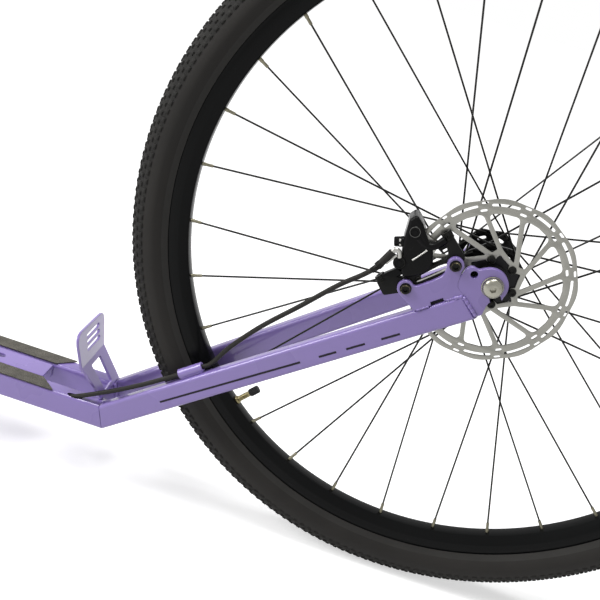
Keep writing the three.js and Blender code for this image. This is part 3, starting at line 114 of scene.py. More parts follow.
def circle(centre: Flat, radius: float, sides: int = 24) -> list[Flat]:
    """Points round a whole circle."""
    return arc(centre, radius, 0, TURN, sides)[:-1]


def slot_outline(start: Flat, end: Flat, radius: float, steps: int = 6) -> list[Flat]:
    """A straight slot with round ends between two centres."""
    heading = atan2(end[1] - start[1], end[0] - start[0])
    first = arc(end, radius, heading - QUARTER, heading + QUARTER, steps)
    last = arc(start, radius, heading + QUARTER, heading + 3 * QUARTER, steps)
    return first + last


def arc_slot(radius: float, half_width: float, start: float, end: float,
             steps: int = 8) -> list[Flat]:
    """A slot that follows a circle round the origin, with round ends."""
    outer = arc((0, 0), radius + half_width, start, end, steps)
    inner = arc((0, 0), radius - half_width, end, start, steps)
    tip = arc(polar(radius, end), half_width, end, end + pi, 4)[1:-1]
    foot = arc(polar(radius, start), half_width, start + pi, start + TURN, 4)[1:-1]
    return outer + tip + inner + foot


def rounded(corners: Sequence[tuple[float, float, float]], steps: int = 5) -> list[Flat]:
    """An outline whose corners are rounded.

    Args:
        corners: each corner's x, z and radius, in order round the outline.
        steps: chords in each rounded corner.

    Returns:
        The outline's points.
    """
    points: list[Flat] = []
    for i, (x, z, radius) in enumerate(corners):
        here = Vector((x, z))
        before = Vector(corners[i - 1][:2]) - here
        after = Vector(corners[(i + 1) % len(corners)][:2]) - here
        if radius <= 0:
            points.append((x, z))
            continue
        half = before.angle(after) / 2
        back = min(radius / tan(half), 0.49 * before.length, 0.49 * after.length)
        start = here + before.normalized() * back
        end = here + after.normalized() * back
        for k in range(steps + 1):
            t = k / steps
            place = start * (1 - t) ** 2 + here * 2 * t * (1 - t) + end * t**2
            points.append((place.x, place.y))
    return points


def smooth_path(points: Sequence[Place], per_span: int = 8) -> list[Vector]:
    """A smooth curve through points, with even parting of the corners.

    Args:
        points: the places that the curve goes through.
        per_span: samples between two of them.

    Returns:
        The curve's samples.
    """
    knots = [Vector(p) for p in points]
    knots = [2 * knots[0] - knots[1], *knots, 2 * knots[-1] - knots[-2]]
    samples: list[Vector] = []
    for i in range(1, len(knots) - 2):
        p0, p1, p2, p3 = knots[i - 1:i + 3]
        t1 = max((p1 - p0).length, MERGE) ** 0.5
        t2 = t1 + max((p2 - p1).length, MERGE) ** 0.5
        t3 = t2 + max((p3 - p2).length, MERGE) ** 0.5
        for k in range(per_span):
            t = t1 + (t2 - t1) * k / per_span
            a1 = p0 * ((t1 - t) / t1) + p1 * (t / t1)
            a2 = p1 * ((t2 - t) / (t2 - t1)) + p2 * ((t - t1) / (t2 - t1))
            a3 = p2 * ((t3 - t) / (t3 - t2)) + p3 * ((t - t2) / (t3 - t2))
            b1 = a1 * ((t2 - t) / t2) + a2 * (t / t2)
            b2 = a2 * ((t3 - t) / (t3 - t1)) + a3 * ((t - t1) / (t3 - t1))
            samples.append(b1 * ((t2 - t) / (t2 - t1)) + b2 * ((t - t1) / (t2 - t1)))
    samples.append(knots[-2])
    return samples


# ---------------------------------------------------------------- working on meshes


def select_only(piece: Piece) -> None:
    """Makes one piece the selected and active one."""
    bpy.ops.object.select_all(action="DESELECT")
    piece.select_set(True)
    bpy.context.view_layer.objects.active = piece


def named(name: str) -> Piece:
    """Names the piece that was just added."""
    piece = bpy.context.active_object
    piece.name = name
    piece.data.name = name
    return piece


@contextmanager
def editing(piece: Piece) -> Iterator[bmesh.types.BMesh]:
    """Opens a piece in edit mode with nothing selected, and closes it again."""
    select_only(piece)
    bpy.ops.object.mode_set(mode="EDIT")
    bpy.ops.mesh.select_all(action="DESELECT")
    mesh = bmesh.from_edit_mesh(piece.data)
    mesh.verts.ensure_lookup_table()
    mesh.edges.ensure_lookup_table()
    yield mesh
    bpy.ops.object.mode_set(mode="OBJECT")


def healed(piece: Piece, merge: float = MERGE) -> Piece:
    """Merges a piece's doubles and turns its faces outwards."""
    with editing(piece):
        bpy.ops.mesh.select_all(action="SELECT")
        bpy.ops.mesh.remove_doubles(threshold=merge)
        bpy.ops.mesh.normals_make_consistent(inside=False)
    return piece


def settled(piece: Piece, place: Matrix) -> Piece:
    """Moves a piece and puts its place into its mesh, so that its object sits at the origin."""
    piece.matrix_world = place @ piece.matrix_world
    select_only(piece)
    bpy.ops.object.transform_apply(location=True, rotation=True, scale=True)
    return piece


def modified(piece: Piece, kind: str, **settings: object) -> Piece:
    """Adds a modifier with its settings to a piece, and applies it."""
    select_only(piece)
    bpy.ops.object.modifier_add(type=kind)
    modifier = piece.modifiers[-1]
    for name, value in settings.items():
        setattr(modifier, name, value)
    bpy.ops.object.modifier_apply(modifier=modifier.name)
    return piece


def smoothed(piece: Piece, angle: float = SMOOTH, weighted: bool = False) -> Piece:
    """Shades a piece smooth where its faces meet at less than an angle."""
    select_only(piece)
    bpy.ops.object.shade_smooth_by_angle(angle=angle)
    return modified(piece, "WEIGHTED_NORMAL", keep_sharp=True) if weighted else piece


def rounded_edges(piece: Piece, width: float, segments: int = 2, angle: float = SMOOTH) -> Piece:
    """Rounds a piece's edges with an applied Bevel modifier."""
    return modified(piece, "BEVEL", width=width, segments=segments, limit_method="ANGLE",
                    angle_limit=angle, harden_normals=False)


def carved(piece: Piece, cutters: Sequence[Piece]) -> Piece:
    """Cuts pieces out of a piece, and removes them."""
    for cutter in cutters:
        modified(piece, "BOOLEAN", object=cutter, operation="DIFFERENCE", solver="EXACT")
        bpy.data.objects.remove(cutter)
    return piece


def joined(name: str, parts: Sequence[Piece]) -> Piece:
    """One piece from several, named and at the origin."""
    bpy.ops.object.select_all(action="DESELECT")
    for part in parts:
        part.select_set(True)
    bpy.context.view_layer.objects.active = parts[0]
    if len(parts) > 1:
        bpy.ops.object.join()
    return named(name)


def copied(piece: Piece, place: Matrix) -> Piece:
    """A copy of a piece with its own mesh, moved by a matrix."""
    select_only(piece)
    bpy.ops.object.duplicate(linked=False)
    return settled(bpy.context.active_object, place)


def about(axis: str, angle: float) -> Matrix:
    """A turn about an axis through the origin."""
    return Matrix.Rotation(angle, 4, axis)


def moved(x: float = 0, y: float = 0, z: float = 0) -> Matrix:
    """A move."""
    return Matrix.Translation((x, y, z))


def facing(way: Vector, axis: str = "Y", up: str = "X") -> Matrix:
    """The turn that lays an axis along a direction."""
    return way.to_track_quat(axis, up).to_matrix().to_4x4()


def turned(name: str, section: Sequence[Flat], steps: int = 64, closed: bool = False) -> Piece:
    """A section of radius and place along Y, spun about the Y axis.

    Args:
        name: the piece's name.
        section: its points; an open section starts and ends on the axis.
        steps: how many steps the spin has.
        closed: whether the last point joins the first.

    Returns:
        The piece.
    """
    bpy.ops.mesh.primitive_circle_add(vertices=len(section), radius=1)
    piece = named(name)
    with editing(piece) as mesh:
        for vert, (radius, along) in zip(mesh.verts, section):
            vert.co = (radius, along, 0)
        if not closed:
            ends = {mesh.verts[0], mesh.verts[len(section) - 1]}
            bmesh.ops.delete(mesh, geom=[e for e in mesh.edges if set(e.verts) == ends],
                             context="EDGES")
        bmesh.update_edit_mesh(piece.data)
        bpy.ops.mesh.select_all(action="SELECT")
        bpy.ops.mesh.spin(steps=steps, angle=TURN, center=(0, 0, 0), axis=(0, 1, 0))
    return healed(piece)


def rod(name: str, start: Vector, end: Vector, radius: float, end_radius: float | None = None,
        sides: int = 24, edge: float = 0.0) -> Piece:
    """A round rod between two places, with a rounded rim at both ends.

    Args:
        name: the piece's name.
        start: its first end.
        end: its other end.
        radius: its radius at the start.
        end_radius: its radius at the end, if it tapers.
        sides: faces round it.
        edge: how wide the rounding of its rims is.

    Returns:
        The piece.
    """
    start, end = Vector(start), Vector(end)
    along = end - start
    bpy.ops.mesh.primitive_cone_add(
        vertices=sides, radius1=radius, radius2=radius if end_radius is None else end_radius,
        depth=along.length)
    piece = named(name)
    if edge > 0:
        rounded_edges(piece, edge, 2, radians(50))
    return settled(piece, moved(*(start + end) / 2) @ facing(along, "Z", "Y"))


def meshed(name: str, curve: bpy.types.Curve, merge: float) -> Piece:
    """A curve made a mesh, with its doubles merged."""
    piece = bpy.data.objects.new(name, curve)
    bpy.context.scene.collection.objects.link(piece)
    select_only(piece)
    bpy.ops.object.convert(target="MESH")
    return healed(named(name), merge)


def flat_curve(name: str, loops: Sequence[Sequence[Flat]], depth: float, bevel: float,
               rings: int = 1) -> Piece:
    """A flat filled curve pushed through a thickness, as a mesh round z = 0.

    Args:
        name: the piece's name.
        loops: the outline and then its holes.
        depth: the whole thickness.
        bevel: the rounding of its rims.
        rings: how fine that rounding is.

    Returns:
        The piece.
    """
    curve = bpy.data.curves.new(name, "CURVE")
    curve.dimensions = "2D"
    curve.fill_mode = "BOTH"
    curve.extrude = depth / 2 - bevel
    curve.bevel_depth = bevel
    curve.bevel_resolution = rings
    curve.offset = -bevel
    for loop in loops:
        spline = curve.splines.new("POLY")
        spline.points.add(len(loop) - 1)
        for point, (x, y) in zip(spline.points, loop):
            point.co = (x, y, 0, 1)
        spline.use_cyclic_u = True
    return meshed(name, curve, 0.02 * MM)


def side_plate(name: str, outline: Sequence[Flat], low: float, high: float,
               holes: Sequence[Sequence[Flat]] = (), bevel: float = 0.3 * MM,
               rings: int = 1) -> Piece:
    """A plate drawn in X and Z that stands between two places across the bike.

    Args:
        name: the piece's name.
        outline: its outline.
        low: the lower Y.
        high: the higher Y.
        holes: the outlines of its holes.
        bevel: the rounding of its rims.
        rings: how fine that rounding is.

    Returns:
        The piece.
    """
    piece = flat_curve(name, [outline, *holes], high - low, bevel, rings)
    return settled(piece, moved(y=(low + high) / 2) @ about("X", QUARTER))


def sheet_plate(name: str, outline: Sequence[Flat], origin: Vector, right: Vector, up: Vector,
                thickness: float, holes: Sequence[Sequence[Flat]] = (), bevel: float = 0.3
                * MM) -> Piece:
    """A plate drawn along two directions from an origin, and thick from there on.

    Args:
        name: the piece's name.
        outline: its outline.
        origin: where the drawing's origin lies.
        right: the drawing's first direction.
        up: the drawing's second direction.
        thickness: how thick it is.
        holes: the outlines of its holes.
        bevel: the rounding of its rims.

    Returns:
        The piece.
    """
    piece = flat_curve(name, [outline, *holes], thickness, bevel)
    out = right.cross(up)
    place = Matrix((right, up, out)).transposed().to_4x4()
    place.translation = origin + out * (thickness / 2)
    return settled(piece, place)


def tube(name: str, path: Sequence[Vector], radius: float, sides: int = 3,
         swell: Sequence[float] | None = None) -> Piece:
    """A round tube along a path, closed at its ends.

    Args:
        name: the piece's name.
        path: the places that it follows.
        radius: its radius.
        sides: how fine its section is.
        swell: the share of the radius at each place, if it varies.

    Returns:
        The piece.
    """
    curve = bpy.data.curves.new(name, "CURVE")
    curve.dimensions = "3D"
    curve.bevel_depth = radius
    curve.bevel_resolution = sides
    curve.use_fill_caps = True
    spline = curve.splines.new("POLY")
    spline.points.add(len(path) - 1)
    for i, place in enumerate(path):
        spline.points[i].co = (*place, 1)
        spline.points[i].radius = swell[i] if swell else 1
    return meshed(name, curve, 0.002 * MM)


def weld_bead(name: str, path: Sequence[Place], radius: float, pitch: float = 2.2 * MM) -> Piece:
    """A weld seam: a round bead with even ripples along a path."""
    places = [Vector(p) for p in path]
    samples: list[Vector] = []
    for a, b in zip(places, places[1:]):
        count = max(2, round((b - a).length / (pitch / 4)))
        samples += [a.lerp(b, k / count) for k in range(count)]
    samples.append(places[-1])
    swell = [1 + 0.14 * sin(k * QUARTER) for k in range(len(samples))]
    swell[0] = swell[-1] = 0.4
    return smoothed(tube(name, samples, radius, 2, swell), radians(60))


def hex_socket(centre: Vector, outward: Vector, across: float, depth: float) -> Piece:
    """A six-sided cutter that sinks a socket into a bolt's head."""
    reach = outward * depth
    return rod("cutter", centre - reach, centre + reach, across / sqrt(3), sides=6)


# ---------------------------------------------------------------- finishes


class Marks(Enum):
    """The kinds of fine marks that a finish can carry."""

    GRAIN = "grain"
    RINGS = "rings"
    WEAVE = "weave"
    GRIT = "grit"


def fill(tree: Tree, shader_node: Node, values: dict[str | int, object]) -> None:
    """Sets a node's input sockets by name or number, or links a given socket to them."""
    for socket, value in values.items():
        if isinstance(value, bpy.types.NodeSocket):
            tree.links.new(value, shader_node.inputs[socket])
        else:
            shader_node.inputs[socket].default_value = value


def node(tree: Tree, kind: str, values: dict[str | int, object] | None = None,
         **settings: object) -> Node:
    """Adds a shader node.

    Args:
        tree: the node tree.
        kind: the node's type, without the word ShaderNode in front.
        values: what its input sockets hold or are linked to.
        settings: the node's own settings.

    Returns:
        The node.
    """
    made = tree.nodes.new(f"ShaderNode{kind}")
    for name, value in settings.items():
        setattr(made, name, value)
    fill(tree, made, values or {})
    return made


class SurfaceGroups:
    """The shared node groups, each built once."""

    def __init__(self) -> None:
        """Builds the groups."""
        self.marks = {
            Marks.GRAIN: self._marks("surface_grain", self._grain),
            Marks.RINGS: self._marks("turning_rings", self._rings),
            Marks.WEAVE: self._marks("moulded_weave", self._weave),
            Marks.GRIT: self._marks("loose_grit", self._grit),
        }

    def _marks(self, name: str, fine: Callable[[Tree, Node], Socket]) -> Tree:
        """One group: broad patches, and fine marks of a kind.

        Args:
            name: the group's name.
            fine: the method that adds the fine marks and returns their socket.

        Returns:
            The group, with the outputs Patches and Fine.
        """
        tree = bpy.data.node_groups.new(name, "ShaderNodeTree")
        for label, way, kind in (("Vector", "INPUT", "Vector"), ("Patch Scale", "INPUT", "Float"),
                                 ("Fine Scale", "INPUT", "Float"), ("Patches", "OUTPUT", "Float"),
                                 ("Fine", "OUTPUT", "Float")):
            tree.interface.new_socket(label, in_out=way, socket_type=f"NodeSocket{kind}")
        entry = tree.nodes.new("NodeGroupInput")
        leave = tree.nodes.new("NodeGroupOutput")
        broad = node(tree, "TexNoise", {"Vector": entry.outputs["Vector"], "Detail": 3,
                                        "Scale": entry.outputs["Patch Scale"]})
        spread = node(tree, "MapRange", {"Value": broad.outputs["Fac"], "From Min": 0.25,
                                         "From Max": 0.75}, interpolation_type="SMOOTHERSTEP")
        fill(tree, leave, {"Patches": spread.outputs["Result"], "Fine": fine(tree, entry)})
        return tree

    @staticmethod
    def _scaled(tree: Tree, entry: Node) -> Socket:
        """The vector times the fine scale."""
        return node(tree, "VectorMath", {"Vector": entry.outputs["Vector"],
                                         "Scale": entry.outputs["Fine Scale"]},
                    operation="SCALE").outputs["Vector"]

    def _grain(self, tree: Tree, entry: Node) -> Socket:
        """Even grain, such as the skin of powder coat or moulded plastic."""
        return node(tree, "TexNoise", {"Vector": self._scaled(tree, entry), "Scale": 1,
                                       "Detail": 2}).outputs["Fac"]

    def _rings(self, tree: Tree, entry: Node) -> Socket:
        """Fine rings round the Y axis, as turning and grinding leave."""
        parts = node(tree, "SeparateXYZ", {0: entry.outputs["Vector"]})
        flat = node(tree, "CombineXYZ", {"X": parts.outputs["X"], "Z": parts.outputs["Z"]})
        length = node(tree, "VectorMath", {0: flat.outputs[0]}, operation="LENGTH")
        times = node(tree, "Math", {0: length.outputs["Value"], 1: entry.outputs["Fine Scale"]},
                     operation="MULTIPLY")
        return node(tree, "TexNoise", {"W": times.outputs[0], "Scale": 1, "Detail": 4},
                    noise_dimensions="1D").outputs["Fac"]

    def _weave(self, tree: Tree, entry: Node) -> Socket:
        """Two crossing sets of fine ribs, as on a braided hose or a tyre's casing."""
        scaled = self._scaled(tree, entry)
        waves = [node(tree, "TexWave", {"Vector": scaled, "Scale": 1, "Distortion": 0.6},
                      bands_direction=axis).outputs["Fac"] for axis in "XZ"]
        return node(tree, "Math", dict(enumerate(waves)), operation="MAXIMUM").outputs[0]

    def _grit(self, tree: Tree, entry: Node) -> Socket:
        """Loose grains of sand, as on a grip strip."""
        cells = node(tree, "TexVoronoi", {"Vector": self._scaled(tree, entry), "Scale": 1})
        return node(tree, "Math", {0: 1, 1: cells.outputs["Distance"]},
                    operation="SUBTRACT").outputs[0]


@dataclass(frozen=True)
class Finish:
    """A surface finish, as numbers for one Principled material.

    Attributes:
        name: the material's name.
        slot: the record's material slot.
        colour: its base colour, linear.
        roughness: its middle roughness.
        metallic: how metallic it is.
        swing: how far the colour wanders, as a share.
        rough_swing: how far the roughness wanders.
        patch: the size of its patches in metres.
        fine: the size of its fine marks in metres.
        depth: how deep the fine marks are in metres.
        marks: the kind of fine marks.
        coat: the weight of a clear coat.
        centre: where ring marks are centred.
        fine_tint: how far the fine marks darken the colour.
        shine: the specular level of what isn't metal.
        brushed: how far the gloss is drawn out by brushing round the Y axis.
    """

    name: str
    slot: str
    colour: Place
    roughness: float
    metallic: float = 0.0
    swing: float = 0.08
    rough_swing: float = 0.06
    patch: float = 0.05
    fine: float = 0.0012
    depth: float = 0.00002
    marks: Marks = Marks.GRAIN
    coat: float = 0.0
    centre: Place = (0, 0, 0)
    fine_tint: float = 0.0
    shine: float = 0.16
    brushed: float = 0.0

    def tone(self, factor: float) -> tuple[float, ...]:
        """The colour times a factor, as a socket takes it."""
        return (*(min(1.0, part * factor) for part in self.colour), 1)

    def build(self, groups: SurfaceGroups) -> bpy.types.Material:
        """Makes the material.

        Args:
            groups: the shared node groups.

        Returns:
            The material.
        """
        material = bpy.data.materials.new(self.name)
        material.use_nodes = True
        tree = material.node_tree
        mapping = node(tree, "Mapping", {"Vector": node(tree, "TexCoord").outputs["Object"],
                                         "Location": [-part for part in self.centre]})
        marks = node(tree, "Group", {"Vector": mapping.outputs["Vector"], "Patch Scale": 1
                                     / self.patch, "Fine Scale": 1 / self.fine},
                     node_tree=groups.marks[self.marks])
        patches, fine = marks.outputs["Patches"], marks.outputs["Fine"]
        colour = node(tree, "Mix", {0: patches, 6: self.tone(1 - self.swing),
                                    7: self.tone(1 + self.swing)}, data_type="RGBA").outputs[2]
        rough = node(tree, "MapRange", {"Value": patches,
                                        "To Min": max(0.02, self.roughness - self.rough_swing),
                                        "To Max": min(1.0, self.roughness + self.rough_swing)})
        bump = node(tree, "Bump", {"Strength": 1, "Distance": self.depth, "Height": fine})
        if self.fine_tint > 0:
            shade = node(tree, "MapRange", {"Value": fine, "From Min": 0.3, "From Max": 0.8,
                                            "To Min": 1 - self.fine_tint}).outputs["Result"]
            grey = node(tree, "CombineColor", dict.fromkeys(("Red", "Green", "Blue"), shade))
            colour = node(tree, "Mix", {0: 1, 6: colour, 7: grey.outputs["Color"]},
                          data_type="RGBA", blend_type="MULTIPLY").outputs[2]
        shader = tree.nodes["Principled BSDF"]
        fill(tree, shader, {
            "Base Color": colour, "Roughness": rough.outputs["Result"],
            "Normal": bump.outputs["Normal"], "Metallic": self.metallic,
            "Specular IOR Level": self.shine, "Anisotropic": self.brushed,
            "Coat Weight": self.coat, "Coat Roughness": COAT_ROUGHNESS})
        if self.brushed > 0:
            round_axis = node(tree, "Tangent", direction_type="RADIAL", axis="Y")
            fill(tree, shader, {"Tangent": round_axis.outputs["Tangent"]})
        return material


# The shared end of the axle bolts, in millimetres: radius and place across.
AXLE_DOME = [(4.7, 56.1), (10.4, 56.1), (10.6, 56.6), (10.4, 57.4), (9.8, 57.7), (10, 58.3), (9.8,
        60), (9, 61.6), (7.8, 62.8), (6.2, 63.6), (4.6, 63.9), (0, 63.9)]
REAR_AXLE = (0.65, 0.0, 0.359)
FRONT_AXLE = (-0.65, 0.0, 0.359)

FINISHES = (Finish("frame_paint", "frame_paint", (0.24, 0.173, 0.46), 0.3, swing=0.035, patch=0.09,
                   fine=0.0016, depth=0.000012, coat=0.75, shine=0.25), Finish("stripe_black",
        "frame_paint", (0.02, 0.016, 0.026), 0.5, patch=0.03), Finish("tread_rubber", "tyre",
        (0.026, 0.0252, 0.0235), 0.74, swing=0.25, patch=0.02, fine=0.0009, depth=0.00004,
        fine_tint=0.3), Finish("sidewall_rubber", "tyre", (0.0215, 0.02, 0.0185), 0.6, swing=0.14,
                               patch=0.06, fine=0.0007, depth=0.00001, marks=Marks.WEAVE),
            Finish("bead_band", "tyre", (0.03, 0.029, 0.027), 0.55, swing=0.1, patch=0.03),
            Finish("rim_black", "rim", (0.005, 0.0053, 0.0054), 0.2, shine=0.07, patch=0.08,
                   depth=0.000006), Finish("spoke_black", "spokes", (0.02, 0.02, 0.019), 0.36,
                                           metallic=0.8, patch=0.02), Finish("nipple_brass",
        "spokes", (0.17, 0.16, 0.115), 0.36, metallic=0.9, swing=0.2, patch=0.003),
            Finish("valve_brass", "valve_brass", (0.26, 0.225, 0.12), 0.3, metallic=0.92,
                   swing=0.15, patch=0.004), Finish("valve_cap", "valve_brass", (0.014, 0.014,
        0.014), 0.5, patch=0.006, depth=0.00004), Finish("hub_black", "hub_black", (0.014, 0.014,
        0.0145), 0.34, metallic=0.6, patch=0.02, depth=0.000008, marks=Marks.RINGS),
            Finish("bolt_black", "bolt_black", (0.012, 0.012, 0.011), 0.34, metallic=0.7,
                   patch=0.004), Finish("bolt_steel", "bolt_steel", (0.27, 0.262, 0.222), 0.24,
                                        metallic=0.95, swing=0.1, patch=0.008, fine=0.0005,
                                        depth=0.000006), Finish("axle_steel", "axle_steel", (0.36,
        0.355, 0.335), 0.33, metallic=0.95, patch=0.01), Finish("pad_lining", "pad_lining", (0.1,
        0.075, 0.055), 0.85, swing=0.3, patch=0.003, fine=0.0006, depth=0.00006, fine_tint=0.4),
            Finish("hose_rubber", "hose_rubber", (0.019, 0.018, 0.0155), 0.45, patch=0.02,
                   fine=0.0009, depth=0.00003, marks=Marks.WEAVE), Finish("grip_rubber",
        "grip_rubber", (0.018, 0.018, 0.018), 0.75, swing=0.2, patch=0.012, fine=0.001,
        depth=0.00005), Finish("grip_strip", "grip_strip", (0.15, 0.142, 0.122), 0.95, swing=0.16,
                               patch=0.012, fine=0.0011, depth=0.00025, marks=Marks.GRIT,
                               fine_tint=0.45), Finish("brake_black", "brake_black", (0.005, 0.005,
        # The next grey finish is a painted highlight for black rims, where thin highlights show.
        0.0052), 0.24, shine=0.08, patch=0.012, depth=0.00001), Finish("painted_highlight_grey", "brake_black",
        (0.085, 0.085, 0.08), 0.3, patch=0.004, shine=0.3), Finish("brake_cast", "brake_black",
        (0.0085, 0.0085, 0.008), 0.4, shine=0.1, patch=0.008, fine=0.0008, depth=0.00003),
            Finish("cockpit_black", "cockpit_black", (0.012, 0.012, 0.0125), 0.38, metallic=0.2,
                   # The next dark finish is painted shade, put in holes and slots where shade
                   # falls.
                   patch=0.03), Finish("painted_shade_dark", "frame_paint", (0.012, 0.01, 0.016), 0.8,
                                       patch=0.01), )


def rotor_finish(name: str, centre: Place) -> Finish:
    """Ground steel with rings round one axle."""
    return Finish(name, "rotor_steel", (0.262, 0.259, 0.236), 0.38, brushed=0.7, metallic=0.9,
                  swing=0.1, patch=0.03, fine=0.0011, depth=0.000022, marks=Marks.RINGS,
                  centre=centre)


class PaintShop:
    """Holds the built materials and dresses pieces with them."""

    def __init__(self) -> None:
        """Builds every finish."""
        groups = SurfaceGroups()
        kinds = (*FINISHES, rotor_finish("rear_rotor_steel", REAR_AXLE),
                 rotor_finish("front_rotor_steel", FRONT_AXLE))
        self.materials = {finish.name: finish.build(groups) for finish in kinds}
        self.slots = {finish.name: finish.slot for finish in kinds}

    def dress(self, piece: Piece, name: str) -> Piece:
        """Gives a whole piece one finish."""
        piece.data.materials.clear()
        piece.data.materials.append(self.materials[name])
        return piece

    def dress_where(self, piece: Piece, name: str, chosen: Callable[[Vector, Vector],
            bool]) -> Piece:
        """Gives another finish to the faces whose centre and normal pass a test."""
        piece.data.materials.append(self.materials[name])
        index = len(piece.data.materials) - 1
        for face in piece.data.polygons:
            if chosen(face.center, face.normal):
                face.material_index = index
        return piece


SHOP = PaintShop()


def mounted(piece: Piece, body: str, finish: str, *nodes: str) -> Piece:
    """Hangs a dressed piece on a body, hides the CAD nodes that it stands for, and logs it."""
    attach(piece, body)
    if nodes:
        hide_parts(*nodes)
    LOG.info("%s rides on %s with %d faces", piece.name, body, len(piece.data.polygons))
    return piece


# ---------------------------------------------------------------- wheels


@dataclass
class Wheel:
    """A spoked wheel with its tyre, hub and brake rotor, built round the origin and then moved.

    Attributes:
        prefix: which wheel it is.
        axle: where its axle is.
        crown_radius: the tyre's radius under its knobs.
        carcass_centre: the radius at which the tyre's section is centred.
        carcass_half_width: half the tyre's width.
        bead_radius: the tyre's inner radius.
        bead_half_width: half the width over its beads.
        knob_height: how far a knob stands out.
        knobs_per_row: the knobs in one ring.
        bed_radius: the rim's inner radius.
        rim_half_width: half the rim's width.
        hook_radius: the rim's outer radius.
        spoke_count: how many spokes it has.
        spoke_radius: a spoke's radius.
        first_spoke: the first spoke's angle at the rim.
        hole_circle: the radius of a flange's ring of holes.
        left_flange: the left flange's place across.
        right_flange: the right flange's place across.
        flange_radius: a flange's radius.
        flange_thickness: how thick a flange is.
        rotor_y: the rotor's place across.
        rotor_thickness: how thick the rotor is.
        rotor_radius: its outer radius.
        bolt_circle: the radius of its ring of bolts.
        arms_angle: the middle of its first pair of arms, at the band.
        arms_spread: from there to the outer end of each arm.
        foot_lag: how far the pair's bolt lies behind that middle.
        first_bolt: the angle of its first bolt.
    """

    prefix: str
    axle: Place
    crown_radius: float = 0.3577
    carcass_centre: float = 0.3355
    carcass_half_width: float = 0.0232
    bead_radius: float = 0.3125
    bead_half_width: float = 0.0112
    knob_height: float = 0.0014
    knobs_per_row: int = 240
    bed_radius: float = 0.2996
    rim_half_width: float = 0.013
    hook_radius: float = 0.3204
    spoke_count: int = 32
    spoke_radius: float = 0.001
    first_spoke: float = radians(166.67)
    hole_circle: float = 0.0295
    left_flange: float = -0.02
    right_flange: float = 0.033
    flange_radius: float = 0.033
    flange_thickness: float = 0.0034
    rotor_y: float = -0.0395
    rotor_thickness: float = 0.0018
    rotor_radius: float = 0.08
    bolt_circle: float = 0.022
    arms_angle: float = radians(40.7)
    arms_spread: float = radians(15)
    foot_lag: float = radians(50.3)
    first_bolt: float = radians(-9.6)

    @property
    def body(self) -> str:
        """The CAD body that the wheel is."""
        return f"{self.prefix}_wheel"

    def finish(self, piece: Piece, finish: str, node: str, angle: float = SMOOTH) -> Piece:
        """Moves a piece to the axle and hangs it on the wheel's body."""
        settled(smoothed(piece, angle), moved(*self.axle))
        return mounted(piece, self.body, finish, f"{self.prefix}_{node}")

    def build(self) -> None:
        """Builds the whole wheel."""
        self.tyre()
        self.rim()
        self.spokes()
        self.valve()
        self.hub()
        self.rotor()
        self.rotor_bolts()

    def carcass_place(self, angle: float, proud: float = 0.0) -> Flat:
        """A place on the tyre's section, by its angle away from the crown."""
        rise = self.crown_radius - self.carcass_centre + proud
        return (self.carcass_centre + rise * cos(angle),
                (self.carcass_half_width + proud) * sin(angle))

    def tyre(self) -> None:
        """The tyre: a carcass with smooth sidewalls, and rows of small knobs."""
        outside = [self.carcass_place(radians(a)) for a in range(-100, 101, 10)]
        low = [(self.bead_radius + 0.0125, self.bead_half_width + 0.0066),
               (self.bead_radius + 0.0068, self.bead_half_width + 0.0026),
               (self.bead_radius + 0.0083, self.bead_half_width),
               (self.bead_radius, self.bead_half_width - 0.0012)]
        inside = [(0.353, 0.004), (0.338, 0.0195), (0.322, 0.0105)]
        half = [*low, (self.bead_radius, self.bead_half_width - 0.003)]
        section = flipped(half) + outside + half + inside[::-1] + [(r, -y) for r, y in inside]
        carcass = turned("carcass", section, 160, closed=True)
        SHOP.dress(carcass, "sidewall_rubber")
        SHOP.dress_where(carcass, "tread_rubber",
                         lambda centre, _: hypot(centre.x, centre.z) > 0.3445)
        SHOP.dress_where(carcass, "bead_band",
                         lambda centre, _: 0.3185 < hypot(centre.x, centre.z) < 0.3225)
        rows = [self.knob_row(angle, row) for row, angle in enumerate(range(-64, 65, 16))]
        piece = joined(f"{self.prefix}_tyre_rubber", [carcass, *rows])
        self.finish(piece, "tread_rubber", "tyre", radians(40))

    def knob_row(self, degrees: float, row: int) -> Piece:
        """One ring of knobs at an angle away from the crown."""
        angle = radians(degrees)
        shoulder = abs(degrees) > 55
        length = (6.2 if shoulder else 5.0) * MM
        width = (4.6 if shoulder else 4.2) * MM
        bpy.ops.mesh.primitive_cube_add(size=1)
        piece = named("knobs")
        radius, across = self.carcass_place(angle)
        lean = atan2((self.crown_radius - self.carcass_centre) * sin(angle),
                          self.carcass_half_width * cos(angle))
        with editing(piece) as mesh:
            for vert in mesh.verts:
                top = vert.co.x > 0
                share = 0.72 if top else 1.0
                vert.co = (self.knob_height if top else -0.0012, vert.co.y * width * share,
                           vert.co.z * length * share)
            tops = [face for face in mesh.faces if face.normal.x > 0.9]
            for face in tops:
                face.select = True
            bmesh.update_edit_mesh(piece.data)
            bpy.ops.mesh.bevel(offset=0.5 * MM, segments=1, affect="EDGES")
            bpy.ops.mesh.select_all(action="SELECT")
        settled(piece, about("Y", -(row % 2) * pi / self.knobs_per_row)
                @ moved(radius, across) @ about("Z", lean))
        step = TURN / self.knobs_per_row
        with editing(piece):
            bpy.ops.mesh.select_all(action="SELECT")
            bpy.ops.mesh.spin(steps=self.knobs_per_row - 1, angle=TURN - step, dupli=True,
                              center=(0, 0, 0), axis=(0, 1, 0))
        return SHOP.dress(piece, "tread_rubber")

